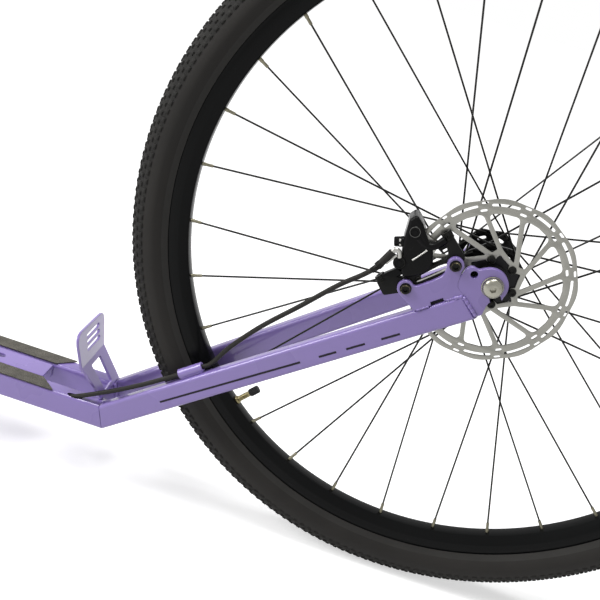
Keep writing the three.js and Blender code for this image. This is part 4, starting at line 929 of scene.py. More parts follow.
    def rim(self) -> None:
        """The rim: a hooked box with a rounded spoke bed, drilled at the valve."""
        half = [
            (self.bed_radius, 0.0052), (self.bed_radius + 0.0004, 0.0068),
            (self.bed_radius + 0.0016, 0.008), (0.3084, 0.0126), (0.3098, self.rim_half_width),
            (0.3192, self.rim_half_width), (self.hook_radius, 0.0124), (self.hook_radius, 0.0117),
            (0.3196, 0.0112), (0.313, 0.0112), (0.3105, 0.0092), (0.3082, 0.0088), (0.3074, 0.004),
        ]
        piece = SHOP.dress(turned(f"{self.prefix}_rim_ring", flipped(half) + half, 192,
                                  closed=True), "rim_black")
        way = self.valve_way
        carved(piece, [rod("cutter", way * 0.29, way * 0.33, 0.0033, sides=20)])
        self.finish(SHOP.dress(piece, "rim_black"), "rim_black", "rim", radians(28))

    @property
    def valve_way(self) -> Vector:
        """The direction of the valve, between two spokes."""
        x, z = polar(1, self.first_spoke + 5.5 / self.spoke_count * TURN)
        return Vector((x, 0, z))

    def spokes(self) -> None:
        """Crossed spokes with elbows and heads in the flanges, and their nipples."""
        lag = 3 / (self.spoke_count / 2) * TURN
        nipple = self.nipple()
        parts: list[Piece] = []
        for k in range(self.spoke_count):
            at_rim = self.first_spoke + k / self.spoke_count * TURN
            lead = -1 if k % 4 < 2 else 1
            at_hub = at_rim + lead * lag
            flange = self.right_flange if k % 2 else self.left_flange
            x, z = polar(self.hole_circle, at_hub)
            hole = Vector((x, flange, z))
            x, z = polar(1, at_rim)
            rim_end = Vector((x, 0, z)) * (self.bed_radius + 0.002)

            def beside(shift: float) -> Vector:
                """A step across the flange, towards the spoke's head."""
                return Vector((0, -lead * shift, 0))

            skim = hole - beside(self.flange_thickness / 2 + self.spoke_radius)
            along = (rim_end - skim).normalized()
            path = [rim_end, skim + along * 0.0035, skim + along * 0.0014 + beside(0.0002),
                    skim + along * 0.0003 + beside(0.0009),
                    hole + beside(self.flange_thickness / 2 + 0.0006)]
            parts.append(SHOP.dress(tube("spoke", path, self.spoke_radius, 1), "spoke_black"))
            head = hole + beside(self.flange_thickness / 2)
            parts.append(SHOP.dress(rod("head", head, head + beside(0.0013), 0.0019, 0.0012, 8),
                                    "spoke_black"))
            parts.append(copied(nipple, moved(*rim_end) @ facing(along)))
        bpy.data.objects.remove(nipple)
        piece = joined(f"{self.prefix}_spoke_set", parts)
        self.finish(piece, "spoke_black", "spokes", radians(50))

    def nipple(self) -> Piece:
        """One nipple along -Y from the origin, its shoulders turned down to a barrel."""
        section = in_mm([(0, 1), (1.9, 1), (1.9, -5.2), (1.6, -5.8), (1.6, -11.8), (1.3, -12.8),
                         (1, -12.8), (0, -12.6)])
        return SHOP.dress(turned("nipple", section, 10), "nipple_brass")

    def valve(self) -> None:
        """The valve: a threaded stem, its foot, and a ribbed cap."""
        thread = [(0, 308.5), (5.5, 308.5), (5.5, 306.8), (3, 306.8), (3, 299.2)]
        for k in range(18):
            foot = 299 - k * 0.85
            thread += [(3.1, foot), (2.7, foot - 0.42)]
        thread += [(2.7, 280), (0, 280)]
        seat = [(0, 299), (4.6, 299), (4.8, 298.4), (4.2, 297.1), (0, 297.1)]
        parts = [SHOP.dress(turned("brass", in_mm(section), 20), "valve_brass")
                 for section in (thread, seat)]
        outline = [polar(0.0042 if k % 2 else 0.00375, TURN * k / 32) for k in range(32)]
        cap = side_plate("cap", outline, 0.2717, 0.2825, bevel=0.0006, rings=2)
        parts.append(SHOP.dress(cap, "valve_cap"))
        piece = settled(joined(f"{self.prefix}_valve_stem", parts), facing(self.valve_way))
        self.finish(piece, "valve_brass", "valve")

    def hub(self) -> None:
        """The hub shell: a waisted barrel, two pierced flanges and a rotor mount."""
        left, right, half = self.left_flange, self.right_flange, self.flange_thickness / 2
        section = [(0.0061, -0.0427), (0.012, -0.0427), (0.0128, -0.042), (0.0164, -0.0415),
                   (0.0166, -0.0385), (0.0252, -0.0383), (0.0258, -0.0377), (0.0258, -0.0356),
                   (0.0225, -0.034), (0.0165, -0.03), (0.0155, -0.026), (0.0185, left - half
                - 0.0006), (0.0185, left + half + 0.0006), (0.015, left + 0.0085), (0.013, left
                + 0.018), (0.0128, 0.01), (0.0148, right - 0.009), (0.0185, right - half - 0.0006),
                   (0.0185, right + half + 0.0006), (0.015, right + 0.005), (0.0138, 0.04), (0.0132,
                0.0424), (0.0061, 0.0427), ]
        parts = [turned("barrel", section, 48, closed=True)]
        for index, flange in enumerate((left, right)):
            holes = [circle(polar(self.hole_circle, a), 0.0012, 8) for a in self.hole_angles(index)]
            windows = [arc_slot(0.0238, 0.0017, a - 0.12, a + 0.12, 5)
                       for a in self.window_angles(index)]
            outline = self.flange_outline(index)
            parts.append(side_plate("flange", outline, flange - half, flange + half,
                                    [circle((0, 0), 0.015, 40), *holes, *windows], 0.0005))
        for part in parts:
            SHOP.dress(part, "hub_black")
        piece = joined(f"{self.prefix}_hub_shell", parts)
        self.finish(piece, "hub_black", "hub", radians(35))

    def hole_angles(self, index: int) -> list[float]:
        """The angles of one flange's spoke holes."""
        angles = []
        for k in range(index, self.spoke_count, 2):
            lead = -1 if k % 4 < 2 else 1
            angles.append(self.first_spoke + (k / self.spoke_count + lead * 3 / 16) * TURN)
        return sorted(angle % TURN for angle in angles)

    def window_angles(self, index: int) -> list[float]:
        """The angles of one flange's windows, between every second pair of holes."""
        holes = self.hole_angles(index)
        return [(a + b) / 2 for a, b in zip(holes[::2], holes[1::2])]

    def flange_outline(self, index: int) -> list[Flat]:
        """A flange's rim, dished in a little between its pairs of holes."""
        middles = self.window_angles(index)
        points = []
        for k in range(96):
            angle = TURN * k / 96
            near = min(abs((angle - m + pi) % TURN - pi) for m in middles)
            dip = 0.0022 * (1 - cos(min(1.0, near / radians(22.5)) * pi)) / 2
            points.append(polar(self.flange_radius - dip, angle))
        return points

    def rotor(self) -> None:
        """The brake rotor: a waved ring with slots, on pairs of swept arms."""
        wave_depth = 0.0014
        outline = []
        for k in range(180):
            angle = TURN * k / 180
            wave = wave_depth / 2 * (1 - cos(12 * (angle - self.arms_angle)))
            outline.append(polar(self.rotor_radius - wave, angle))
        holes = [self.scalloped_hole()]
        for i in range(6):
            bolt = self.first_bolt + TURN * i / 6
            holes.append(circle(polar(self.bolt_circle, bolt), 0.0024, 12))
            holes += self.arm_windows(self.arms_angle + TURN * i / 6)
            holes += self.band_slots(self.arms_angle + TURN * i / 6)
        face = self.rotor_thickness / 2
        piece = side_plate(f"{self.prefix}_rotor_disc", outline, self.rotor_y - face, self.rotor_y
                           + face, holes, 0.00018)
        SHOP.dress(piece, f"{self.prefix}_rotor_steel")
        self.finish(piece, f"{self.prefix}_rotor_steel", "rotor", radians(30))

    def band_slots(self, middle: float) -> list[list[Flat]]:
        """The slots of a sixth of the braking band."""
        slots = []
        for arm in (-1, 1):
            end = middle + arm * self.arms_spread
            slots.append(arc_slot(0.0739, 0.00135, end + radians(5.2), end + radians(23.5), 8))
            slots.append(arc_slot(0.0765, 0.00115, end - radians(2.4), end + radians(0.6), 3))
            slots.append(arc_slot(0.0694, 0.00125, end - radians(1.2), end + radians(2.2), 3))
        return slots

    def arm_windows(self, middle: float) -> list[list[Flat]]:
        """The two windows beside a pair of arms that sweep out from one bolt.

        Args:
            middle: the angle halfway between the pair's outer ends.

        Returns:
            Their outlines: within the pair, and after it.
        """
        band, half, bolt = 0.0661, 0.0022, middle - self.foot_lag

        def spot(radius: float, angle: float) -> Vector:
            """A place in the bolt's own frame."""
            return Vector(polar(radius, angle))

        def edge(start: Vector, end: Vector, side: int) -> tuple[float, float, float]:
            """Where one edge of an arm meets the band, with the corner's radius."""
            along = (end - start).normalized()
            start = start + Vector((-along.y, along.x)) * (side * half)
            b = start.dot(along)
            place = start + along * (-b + sqrt(b * b - start.dot(start) + band * band))
            return (*place, 0.0055)

        lead, trail = self.foot_lag + self.arms_spread, self.foot_lag - self.arms_spread
        knee, foot = Vector((0.0223, 0.021)), Vector((0.026, -0.0005))
        turn = Matrix.Rotation(TURN / 6, 2)
        inside = [(0.0264, 0.0046, 0.0012), edge(foot, spot(0.068, trail), 1), (*spot(band,
                self.foot_lag), 0), edge(knee, spot(0.068, lead), -1), (0.0245, 0.021, 0.012)]
        outside = [(0.0206, 0.0246, 0.0015), edge(knee, spot(0.068, lead), 1),
                   (*spot(band, self.foot_lag + TURN / 12), 0),
                   edge(turn @ foot, turn @ spot(0.068, trail), -1), (0.0148, 0.0244, 0.0012)]
        back = Matrix.Rotation(bolt, 2)
        return [[tuple(back @ Vector(point)) for point in rounded(corners, 6)]
                for corners in (inside, outside)]

    def scalloped_hole(self) -> list[Flat]:
        """The rotor's centre hole: tight at each bolt, and wide between them."""
        sixth = [(18.6, -2.6, 0.8), (18.6, 2.6, 0.8), (22.2, 5.4, 1.0), (20.7, 13.0, 6), (20.1,
                18.9, 1.2), (15.9, 18.2, 1.0)]
        points: list[tuple[float, float, float]] = []
        for i in range(6):
            turn = Matrix.Rotation(self.first_bolt + TURN * i / 6, 2)
            points += [(*(turn @ Vector((x, z)) * MM), r * MM) for x, z, r in sixth]
        return rounded(points, 4)

    def rotor_bolts(self) -> None:
        """Six button-headed bolts with sunk sockets."""
        face = self.rotor_y - self.rotor_thickness / 2
        dome = in_mm([(0, 0), (4.1, 0), (4.1, -0.7), (3.7, -1.6), (2.8, -2.2), (1.9, -2.35),
                      (1.7, -1.2), (0, -1.2)])
        bolt = turned("bolt", [(r, face - 0.0006 + y) for r, y in dome], 20)
        SHOP.dress(bolt, "bolt_black")
        parts = []
        for i in range(6):
            x, z = polar(self.bolt_circle, self.first_bolt + TURN * i / 6)
            parts.append(copied(bolt, moved(x, 0, z)))
        bpy.data.objects.remove(bolt)
        self.finish(joined(f"{self.prefix}_rotor_bolt_set", parts), "bolt_black", "rotor_bolts")


# ---------------------------------------------------------------- box tubes


def box_ring(centre: Vector, across: Vector, up: Vector, width: float, height: float, radius: float,
             steps: int = 4) -> list[Vector]:
    """The rounded rectangle of a box tube's section.

    Args:
        centre: its centre.
        across: the direction of its width.
        up: the direction of its height, longer than one where the section is mitred.
        width: its width.
        height: its height.
        radius: the rounding of its corners.
        steps: chords in each corner.

    Returns:
        The section's places, in order round it.
    """
    corners = [(width / 2, height / 2), (-width / 2, height / 2), (-width / 2, -height / 2),
               (width / 2, -height / 2)]
    places = []
    for quarter, (x, z) in enumerate(corners):
        middle = (x - copysign(radius, x), z - copysign(radius, z))
        for side, rise in arc(middle, radius, quarter * QUARTER, (quarter + 1) * QUARTER, steps):
            places.append(centre + across * side + up * rise)
    return places


def round_ring(centre: Vector, across: Vector, up: Vector, half_width: float, half_height: float,
               count: int = 24) -> list[Vector]:
    """The oval section of a round or flattened bar."""
    return [centre + across * (half_width * cos(TURN * k / count))
            + up * (half_height * sin(TURN * k / count)) for k in range(count)]


def skinned(name: str, rings: Sequence[Sequence[Vector]]) -> Piece:
    """A closed skin through a row of sections, made by extruding the first one.

    Args:
        name: the piece's name.
        rings: the sections, each with as many places.

    Returns:
        The piece.
    """
    bpy.ops.mesh.primitive_circle_add(vertices=len(rings[0]), radius=1, fill_type="NGON")
    piece = named(name)
    with editing(piece) as mesh:
        for vert, place in zip(mesh.verts, rings[0]):
            vert.co = place
        bmesh.update_edit_mesh(piece.data)
        bpy.ops.mesh.select_all(action="SELECT")
        for ring, following in zip(rings, rings[1:]):
            bpy.ops.mesh.extrude_region_move()
            mesh = bmesh.from_edit_mesh(piece.data)
            for vert in mesh.verts:
                if vert.select:
                    near = min(range(len(ring)), key=lambda k: (ring[k] - vert.co).length_squared)
                    vert.co = following[near]
            bmesh.update_edit_mesh(piece.data)
        bpy.ops.mesh.select_all(action="SELECT")
        bpy.ops.mesh.normals_make_consistent(inside=False)
    return piece


def oval_cutter(centre: Place, half_length: float, half_width: float, depth: float) -> Piece:
    """An upright oval cutter round a place on a flat top."""
    rings = [round_ring(Vector(centre) + Vector((0, 0, rise)), Vector((1, 0, 0)), Vector((0, 1, 0)),
                        half_length, half_width, 24) for rise in (-depth, 0.01)]
    return skinned("cutter", rings)


# ---------------------------------------------------------------- rear end


@dataclass
class RearEnd:
    """The deck, the chainstays and all that is welded or bolted to them.

    Attributes:
        axle: the rear axle's place.
        rise: the angle of the stays above the ground.
        drop: how far under the axle a stay's centre line passes.
        height: the height of stays and rails.
        stay_width: the width of a stay.
        end_back: from the axle's foot to the closed end of a stay.
        end_bevel: how far that end is slanted.
        end_outer: the outer face of a stay at that end.
        kink_back: from the axle's foot to the kink.
        deck_top: the height of the deck.
        rail_inner: a rail's inner face.
        rail_outer: a rail's outer face.
        rail_front: the rails' front end.
        plate_front: the deck plate's front edge.
        plate_rear: its rear edge.
        corner: the rounding of the tubes' long edges.
        plate_near: a dropout's inner face.
        plate_far: its outer face.
        tab_near: the caliper tab's inner face.
        tab_far: its outer face.
    """

    axle: Place = REAR_AXLE
    rise: float = radians(38.4)
    drop: float = 0.012
    height: float = 0.026
    stay_width: float = 0.014
    end_back: float = 0.028
    end_bevel: float = 0.0085
    end_outer: float = 0.058
    kink_back: float = 0.4292
    deck_top: float = 0.096
    rail_inner: float = 0.018
    rail_outer: float = 0.038
    rail_front: float = -0.17
    plate_front: float = -0.095
    plate_rear: float = 0.2449
    corner: float = 0.0036
    plate_near: float = 0.05
    plate_far: float = 0.056
    tab_near: float = 0.0505
    tab_far: float = 0.0564

    def __post_init__(self) -> None:
        """Works out the stay's directions and the kink."""
        self.back = Vector((-cos(self.rise), 0, -sin(self.rise)))
        self.normal = Vector((-sin(self.rise), 0, cos(self.rise)))
        self.kink = self.on_stay(self.kink_back, 0)
        along = (self.back + Vector((-1, 0, 0))).normalized()
        self.kink_up = Vector((along.z, 0, -along.x)) / along.dot(self.back)

    def on_stay(self, back: float, rise: float, across: float = 0.0) -> Vector:
        """A place on the chainstay, from the axle's foot on its centre line."""
        return (Vector(self.axle) + self.normal * (rise - self.drop) + self.back * back
                + Vector((0, across, 0)))

    def in_plane(self, back: float, rise: float) -> Flat:
        """The same place as X and Z."""
        place = self.on_stay(back, rise)
        return (place.x, place.z)

    def at_axle(self, points: Sequence[Flat]) -> list[Flat]:
        """An outline in millimetres from the axle, as X and Z."""
        return [(self.axle[0] + x * MM, self.axle[2] + z * MM) for x, z in points]

    def finish(self, piece: Piece, *nodes: str, finish: str = "frame_paint", angle: float = SMOOTH,
               weighted: bool = True) -> Piece:
        """Paints a piece of the frame and hangs it on the frame's body."""
        if not piece.data.materials:
            SHOP.dress(piece, finish)
        return mounted(smoothed(piece, angle, weighted), "frame", finish, *nodes)

    def build(self) -> None:
        """Builds the whole rear end."""
        for side in Side:
            self.stay(side)
            self.rail(side)
            self.dropout(side)
            self.strip(side)
            self.axle_bolt(side)
        self.plate()
        self.bridge()
        self.guard()
        self.guide()
        self.tab()
        self.tab_bolts()
        self.axle_bar()
        self.stripe()
        self.welds()

    def stay(self, side: Side) -> None:
        """One chainstay: a rounded box tube with a slanted, closed end."""
        s = side.value
        across = Vector((0, s, 0))
        slant = across + self.back * (self.end_bevel / self.stay_width)
        end = self.on_stay(self.end_back - self.end_bevel / 2, 0, s * (self.end_outer
                - self.stay_width / 2))
        foot = self.kink + Vector((0, s * (self.rail_outer - self.stay_width / 2), 0))
        foot -= self.back * 0.12 * MM
        piece = skinned(f"{side.word}_chainstay_tube", [box_ring(end, slant, self.normal + self.back
                * 0.17, self.stay_width, self.height, self.corner), box_ring(foot, across,
                self.kink_up, self.stay_width, self.height, self.corner)])
        rounded_edges(piece, 0.7 * MM, 2, radians(50))
        room = side_plate("cutter", self.tail_outline(0.35 * MM), *self.span(side, 0.0497, 0.0563),
                          bevel=0)
        self.finish(carved(piece, [room]), f"{side.word}_chainstay")

    @staticmethod
    def span(side: Side, near: float, far: float) -> tuple[float, float]:
        """A span across the bike on one side, low first."""
        return (-far, -near) if side is Side.LEFT else (near, far)

    def tail_outline(self, margin: float = 0.0) -> list[Flat]:
        """The part of the dropout that is let into the stay."""
        half, end = 0.009 + margin, self.end_back + 0.03 + margin
        return [self.in_plane(b, r) for b, r in ((0.012, half), (end, half), (end, -half), (0.012,
                -half))]

    def rail(self, side: Side) -> None:
        """One deck rail, with the hose's two holes in the left one."""
        s = side.value
        across = Vector((0, s, 0))
        middle = (self.rail_inner + self.rail_outer) / 2
        width = self.rail_outer - self.rail_inner
        front = Vector((self.rail_front, s * middle, self.deck_top - self.height / 2))
        rear = self.kink + Vector((-0.12 * MM, s * middle, 0))
        piece = skinned(f"{side.word}_deck_rail_tube", [
            box_ring(rear, across, self.kink_up, width, self.height, self.corner),
            box_ring(front, across, Vector((0, 0, 1)), width, self.height, self.corner)])
        rounded_edges(piece, 0.7 * MM, 2, radians(50))
        SHOP.dress(piece, "frame_paint")
        if side is Side.LEFT:
            holes = [(0.2885, -0.0331, 0.0085, 0.0036), (-0.1305, -0.0268, 0.0075, 0.0042)]
            deep = 0.018
            carved(piece, [oval_cutter((x, y, self.deck_top), length, half, deep)
                           for x, y, length, half in holes])

            def in_shaded_hole(at: Vector, way: Vector) -> bool:
                """Whether a face is a wall or the floor of one of the holes, which get painted
                shade.
                """
                wall = at.z < self.deck_top - 0.0002 and abs(way.z) < 0.99
                floor = abs(at.z - self.deck_top + deep) < 0.0001
                return (wall or floor) and any(abs(at.x - x) <= length and abs(at.y - y) <= half
                                               for x, y, length, half in holes)

            # The walls and floor of the hose holes take the dark finish: painted shade inside the
            # rail.
            SHOP.dress_where(piece, "painted_shade_dark", in_shaded_hole)
        self.finish(piece, f"{side.word}_deck_rail")

    def dropout(self, side: Side) -> None:
        """One dropout plate: a hook, a horn with a hole, and a tail into the stay."""
        centre, radius = (-2.2, 0.3), 16.9 if side is Side.LEFT else 13.5
        slot_way = radians(-57)
        dx, dz = cos(slot_way), sin(slot_way)
        nx, nz = -dz, dx
        hook = arc(centre, radius, radians(-31), radians(114), 18)
        right = (nx * 5.1 + dx * 13.4, nz * 5.1 + dz * 13.4)
        left = (-nx * 5.1 + dx * 14.2, -nz * 5.1 + dz * 14.2)
        throat = arc((0, 0), 5.1, slot_way + QUARTER, slot_way + 3 * QUARTER, 10)
        horn = [(-12.4, 14.2), (-14.6, 12.4), (-17.0, 11.6), (-19.6, 11.9), (-22.4, 12.5), (-25.2,
                12.0), (-27.6, 10.0), (-29.4, 6.4), (-30.8, 1.6), (-31.6, -4.0), (-30.6, -10.0)]
        if side is Side.RIGHT:
            horn = [(-14.5, 12.0), (-18.5, 6.0), (-21.5, -1.0), (-25.0, -8.0)]
        tail = [self.in_plane(*mm(b, r)) for b, r in ((34, 9), (57.5, 9), (57.5, -9), (26, -9))]
        shape = self.at_axle([*hook[1:], *horn]) + tail
        shape += self.at_axle([(-1.0, -30.5), (0.7, -28.4), (0.8, -25.0), (1.3, -20.0), (2.3,
                -16.6), (left[0], left[1]), *reversed(throat), right, (12.4, -9.6), (12.9, -9.0)])
        low, high = self.span(side, self.plate_near, self.plate_far)
        holes = [self.at_axle(circle((-19.7, 5.8), 3.5, 24))] if side is Side.LEFT else []
        piece = side_plate(f"{side.word}_dropout_plate", shape, low, high, holes, 0.8 * MM, 2)
        self.finish(piece, f"{side.word}_dropout")

    def strip(self, side: Side) -> None:
        """One gritty grip strip on a rail, with its slanted rear end."""
        s = side.value
        rear = self.kink.x - 0.0551
        corners = [(self.plate_front, s * self.rail_inner), (self.plate_front, s * self.rail_outer),
                   (rear, s * self.rail_outer), (rear - 0.019, s * self.rail_inner)]
        if side is Side.RIGHT:
            corners.reverse()
        outline = rounded([(x, y, 0.0012) for x, y in corners], 3)
        piece = flat_curve(f"{side.word}_grip_strip_pad", [outline], 1.2 * MM, 0.35 * MM)
        settled(piece, moved(z=self.deck_top + FIT + 0.6 * MM))
        SHOP.dress(piece, "grip_strip")
        self.finish(piece, f"{side.word}_grip_strip", finish="grip_strip")

    def plate(self) -> None:
        """The deck plate: a slotted sheet folded down along both sides."""
        half = self.rail_inner - FIT
        fold, depth, thick = 0.004, 0.016, 0.003
        outer = [(half, self.deck_top - depth)]
        outer += [(half - fold + fold * cos(QUARTER * i / 6),
                   self.deck_top - fold + fold * sin(QUARTER * i / 6)) for i in range(7)]
        outer += [(-y, z) for y, z in reversed(outer)]
        inner = [(half - thick, self.deck_top - depth)]
        inner += [(half - fold + (fold - thick) * cos(QUARTER * i / 4),
                   self.deck_top - fold + (fold - thick) * sin(QUARTER * i / 4)) for i in range(5)]
        inner += [(-y, z) for y, z in reversed(inner)]
        loop = outer + list(reversed(inner))
        rings = [[Vector((x, y, z)) for y, z in loop] for x in (self.plate_front, self.plate_rear)]
        piece = skinned("deck_plate_sheet", rings)
        cutter = flat_curve("cutter", [slot_outline((-0.063, 0), (0.192, 0), 0.0042, 8)], 0.02, 0)
        carved(piece, [settled(cutter, moved(z=self.deck_top))])
        rounded_edges(piece, 0.35 * MM, 1, radians(60))
        self.finish(piece, "deck_plate")

    def bridge(self) -> None:
        """The cross plate between the rails at the kink."""
        half = self.height / 2
        outline = []
        for back, rise in ((0.003, -half), (0.003, half), (0.007, half), (0.007, -half)):
            place = self.kink + self.kink_up * rise - Vector((back, 0, 0))
            outline.append((place.x, place.z))
        piece = side_plate("kink_bridge_plate", outline, FIT - self.rail_inner, self.rail_inner
                           - FIT, bevel=0.5 * MM)
        self.finish(piece, "kink_bridge")

    def guard(self) -> None:
        """The heel guard: a sheet bent once, with a window and three slots."""
        lean, upper_lean = radians(40), radians(15)
        leg_up = Vector((-sin(lean), 0, cos(lean)))
        upper_up = Vector((-sin(upper_lean), 0, cos(upper_lean)))
        right = Vector((0, 1, 0))
        foot = Vector((self.kink.x - 0.0071, 0, self.deck_top + FIT))
        leg, upper, thick = 0.042, 0.0395, 0.003
        bend = foot + leg_up * leg
        out_leg, out_upper = right.cross(leg_up), right.cross(upper_up)
        window = rounded([(-0.01, 0.004, 0.0015), (0.013, 0.005, 0.0015), (0.016, 0.0355, 0.002),
                          (-0.012, 0.0355, 0.002)], 3)
        leg_outline = [(-0.0235, 0.0006), (0.032, 0.0006), (0.036, leg), (-0.034, leg)]
        lower = sheet_plate("leg", leg_outline, foot, right, leg_up, thick, [window], 0.5 * MM)
        slots = [slot_outline((-0.013, upper * share), (0.021, upper * share), 0.0023, 5)
                 for share in (0.38, 0.56, 0.74)]
        head = rounded([(-0.034, 0, 0), (0.036, 0, 0), (0.043, upper - 0.001, 0.012),
                        (-0.043, upper + 0.001, 0.013)], 8)
        top = sheet_plate("top", head, bend, right, upper_up, thick, slots, 0.5 * MM)
        crease_rings = []
        for y in (-0.034, 0.036):
            origin = bend + Vector((0, y, 0))
            ring = [origin + leg_up * -0.0006, origin]
            ring += [origin + upper_up * 0.0006]
            ring += [origin + upper_up * 0.0006 + out_upper * thick]
            ring += [origin + (out_leg * (1 - t) + out_upper * t).normalized() * thick
                     for t in (0.85, 0.5, 0.15)]
            ring += [origin + leg_up * -0.0006 + out_leg * thick]
            crease_rings.append(ring)
        crease = skinned("crease", crease_rings)
        feet = []
        for y in (-0.019, 0.026):
            feet.append(weld_bead("foot_weld", [(foot.x - 0.001, y - 0.006, foot.z + 0.0006),
                                                (foot.x - 0.001, y + 0.006, foot.z + 0.0006)], 1.5
                                  * MM))
        parts = [lower, top, crease, *feet]
        for part in parts:
            SHOP.dress(part, "frame_paint")
        self.finish(joined("heel_guard_sheet", parts), "heel_guard", angle=radians(45))

    def guide(self) -> None:
        """The hose guide: a short tube with a slanted mouth, welded on the left stay."""
        rise, inset = self.height / 2 + FIT + 0.0052, 0.0357
        back = self.kink_back - 0.1282
        section = in_mm([(3.1, 0), (4.8, 0), (5.2, 0.5), (5.2, 26), (4.8, 26.5), (3.1, 26.5)])
        piece = turned("hose_guide_tube", section, 28, closed=True)
        settled(piece, moved(*self.on_stay(back, rise, -inset)) @ facing(self.back, "Y", "Z"))
        base = skinned("base", [box_ring(self.on_stay(b, self.height / 2 + 0.0016, -inset - 0.0006),
                                         Vector((0, 1, 0)), self.normal, 0.0062, 0.0042, 0.0012, 2)
                                for b in (back + 0.0012, back + 0.0252)])
        parts = [SHOP.dress(piece, "frame_paint"), SHOP.dress(base, "frame_paint")]
        self.finish(joined("hose_guide_tube", parts), "hose_guide", weighted=False)

    @property
    def mounts(self) -> tuple[Flat, Flat]:
        """The places of the two tab bolts, in X and Z."""
        spread, tilt = 0.051, radians(6.3)
        rear = self.in_plane(0.076, 0.037)
        front = self.in_plane(0.076 - spread * cos(tilt), 0.037 + spread * sin(tilt))
        return rear, front

    def tab_outline(self) -> list[Flat]:
        """The caliper tab: a foot with a relief, and a round lobe at each bolt."""
        rear, front = self.mounts
        x0, z0 = self.axle[0], self.axle[2]
        lobe, rise = 0.0081, self.height / 2 + 0.0002
        foot = [self.in_plane(0.0257, rise), self.in_plane(0.033, rise + 0.0032)]
        points = [self.in_plane(0.076, rise), *arc(rear, lobe, radians(232), radians(42), 14)]
        points += [(x0 - 0.0665, z0 - 0.0223), (x0 - 0.064, z0 - 0.0208), (x0 - 0.053, z0 - 0.0115),
                   (x0 - 0.047, z0 - 0.005), (x0 - 0.0458, z0 - 0.001)]
        points += arc(front, lobe, radians(200), radians(-28), 16)
        points += [(x0 - 0.0309, z0 - 0.001), (x0 - 0.0309, z0 - 0.006), (x0 - 0.0296, z0 - 0.01),
                   (x0 - 0.0262, z0 - 0.0132)]
        points += [foot[0]]
        points += [self.in_plane(0.046, rise), self.in_plane(0.0465, rise + 0.0034),
                   self.in_plane(0.0585, rise + 0.0034), self.in_plane(0.059, rise)]
        return points

    def tab(self) -> None:
        """The caliper tab, welded on the left stay."""
        holes = [circle(place, 0.0031, 20) for place in self.mounts]
        piece = side_plate("caliper_tab_plate", self.tab_outline(), -self.tab_far, -self.tab_near,
                           holes, 0.9 * MM, 2)
        slot = [self.in_plane(*mm(b, r)) for b, r in ((46, 13.5), (46.5, 16.6), (58.5, 16.6), (59,
                13.5))]
        # A dark sheet set into the tab's relief slot is painted shade where the slot opens.
        back = SHOP.dress(side_plate("slot", slot, -0.0545, -0.0515, bevel=0), "painted_shade_dark")
        piece = joined("caliper_tab_plate", [SHOP.dress(piece, "frame_paint"), back])
        self.finish(piece, "caliper_tab")

    @staticmethod
    def socket_bolt(name: str, place: Flat) -> Piece:
        """A black socket bolt with its washer, seated on the tab at a place."""
        seat = -RearEnd.tab_far
        section = [(0, -0.0425), (0.0028, -0.0425), (0.0028, seat), (0.0056, seat), (0.0056, seat
                - 0.0007), (0.0046, seat - 0.0008), (0.0046, seat - 0.0036), (0.0041, seat
                - 0.0044), (0, seat - 0.0044)]
        bolt = turned(name, section, 28)
        top = Vector((0, seat - 0.0044, 0))
        carved(bolt, [hex_socket(top, Vector((0, -1, 0)), 0.0048, 0.0026)])
        SHOP.dress(bolt, "bolt_black")
        # The brass band on the head's top chamfer is a painted glint on the black bolt.
        SHOP.dress_where(bolt, "valve_brass", lambda at, way: seat - 0.0036 > at.y > seat - 0.0043
                         and hypot(at.x, at.z) > 0.0041)
        return settled(bolt, moved(place[0], 0, place[1]))

    def tab_bolts(self) -> None:
        """The two bolts that hold the adapter to the tab."""
        for word, place in zip(("rear", "front"), self.mounts):
            bolt = self.socket_bolt(f"tab_{word}_bolt_head", place)
            self.finish(bolt, f"tab_{word}_bolt", finish="bolt_black")

    def axle_bolt(self, side: Side) -> None:
        """A domed axle bolt with a hexagon socket and a knurled washer."""
        s = side.value
        section = in_mm([(0, 34), (4.7, 34), *AXLE_DOME])
        bolt = turned(f"{side.word}_axle_bolt_head", [(r, s * y) for r, y in section], 40)
        carved(bolt, [hex_socket(Vector((0, s * 0.0639, 0)), Vector((0, s, 0)), 0.0058, 0.0035)])
        SHOP.dress(bolt, "bolt_steel")
        settled(bolt, moved(*self.axle))
        self.finish(bolt, f"rear_axle_bolt_{side.word}", finish="bolt_steel", angle=radians(40))

    def axle_bar(self) -> None:
        """The rear axle with its locknut ends."""
        half = in_mm([(0, 49.7), (8, 49.7), (9, 49), (9, 43.6), (8.6, 43), (6, 43)])
        piece = SHOP.dress(turned("rear_axle_bar", half + flipped(half), 36), "axle_steel")
        settled(piece, moved(*self.axle))
        self.finish(piece, "rear_axle", finish="axle_steel")

    def stripe(self) -> None:
        """The thin dark stripe along both stays: one long run and then short dashes."""
        runs = [(0.0963, 0.1153), (0.1319, 0.1514), (0.1617, 0.1801), (0.2, 0.3575)]
        for side in Side:
            s = side.value
            parts = []
            for start, end in runs:
                corners = []
                for back, half in ((start, -0.0011), (end, -0.0011), (end, 0.0011), (start,
                        0.0011)):
                    rise = half - 0.002 - 0.0115 * (0.3575 - back)
                    out = self.end_outer - (back - self.end_back) / (self.kink_back
                            - self.end_back) * (self.end_outer - self.rail_outer)
                    corners.append(self.on_stay(back, rise, s * out))
                proud = Vector((0, s * 0.06 * MM, 0))
                sunk = Vector((0, s * -0.2 * MM, 0))
                near = [corners[0] + sunk, corners[0] + proud, corners[3] + proud, corners[3]
                        + sunk]
                far = [corners[1] + sunk, corners[1] + proud, corners[2] + proud, corners[2] + sunk]
                part = skinned("run", [near, far])
                parts.append(SHOP.dress(rounded_edges(part, 0.03 * MM, 1, radians(60)),
                                        "stripe_black"))
            mounted(joined(f"{side.word}_stay_stripe", parts), "frame", "stripe_black")

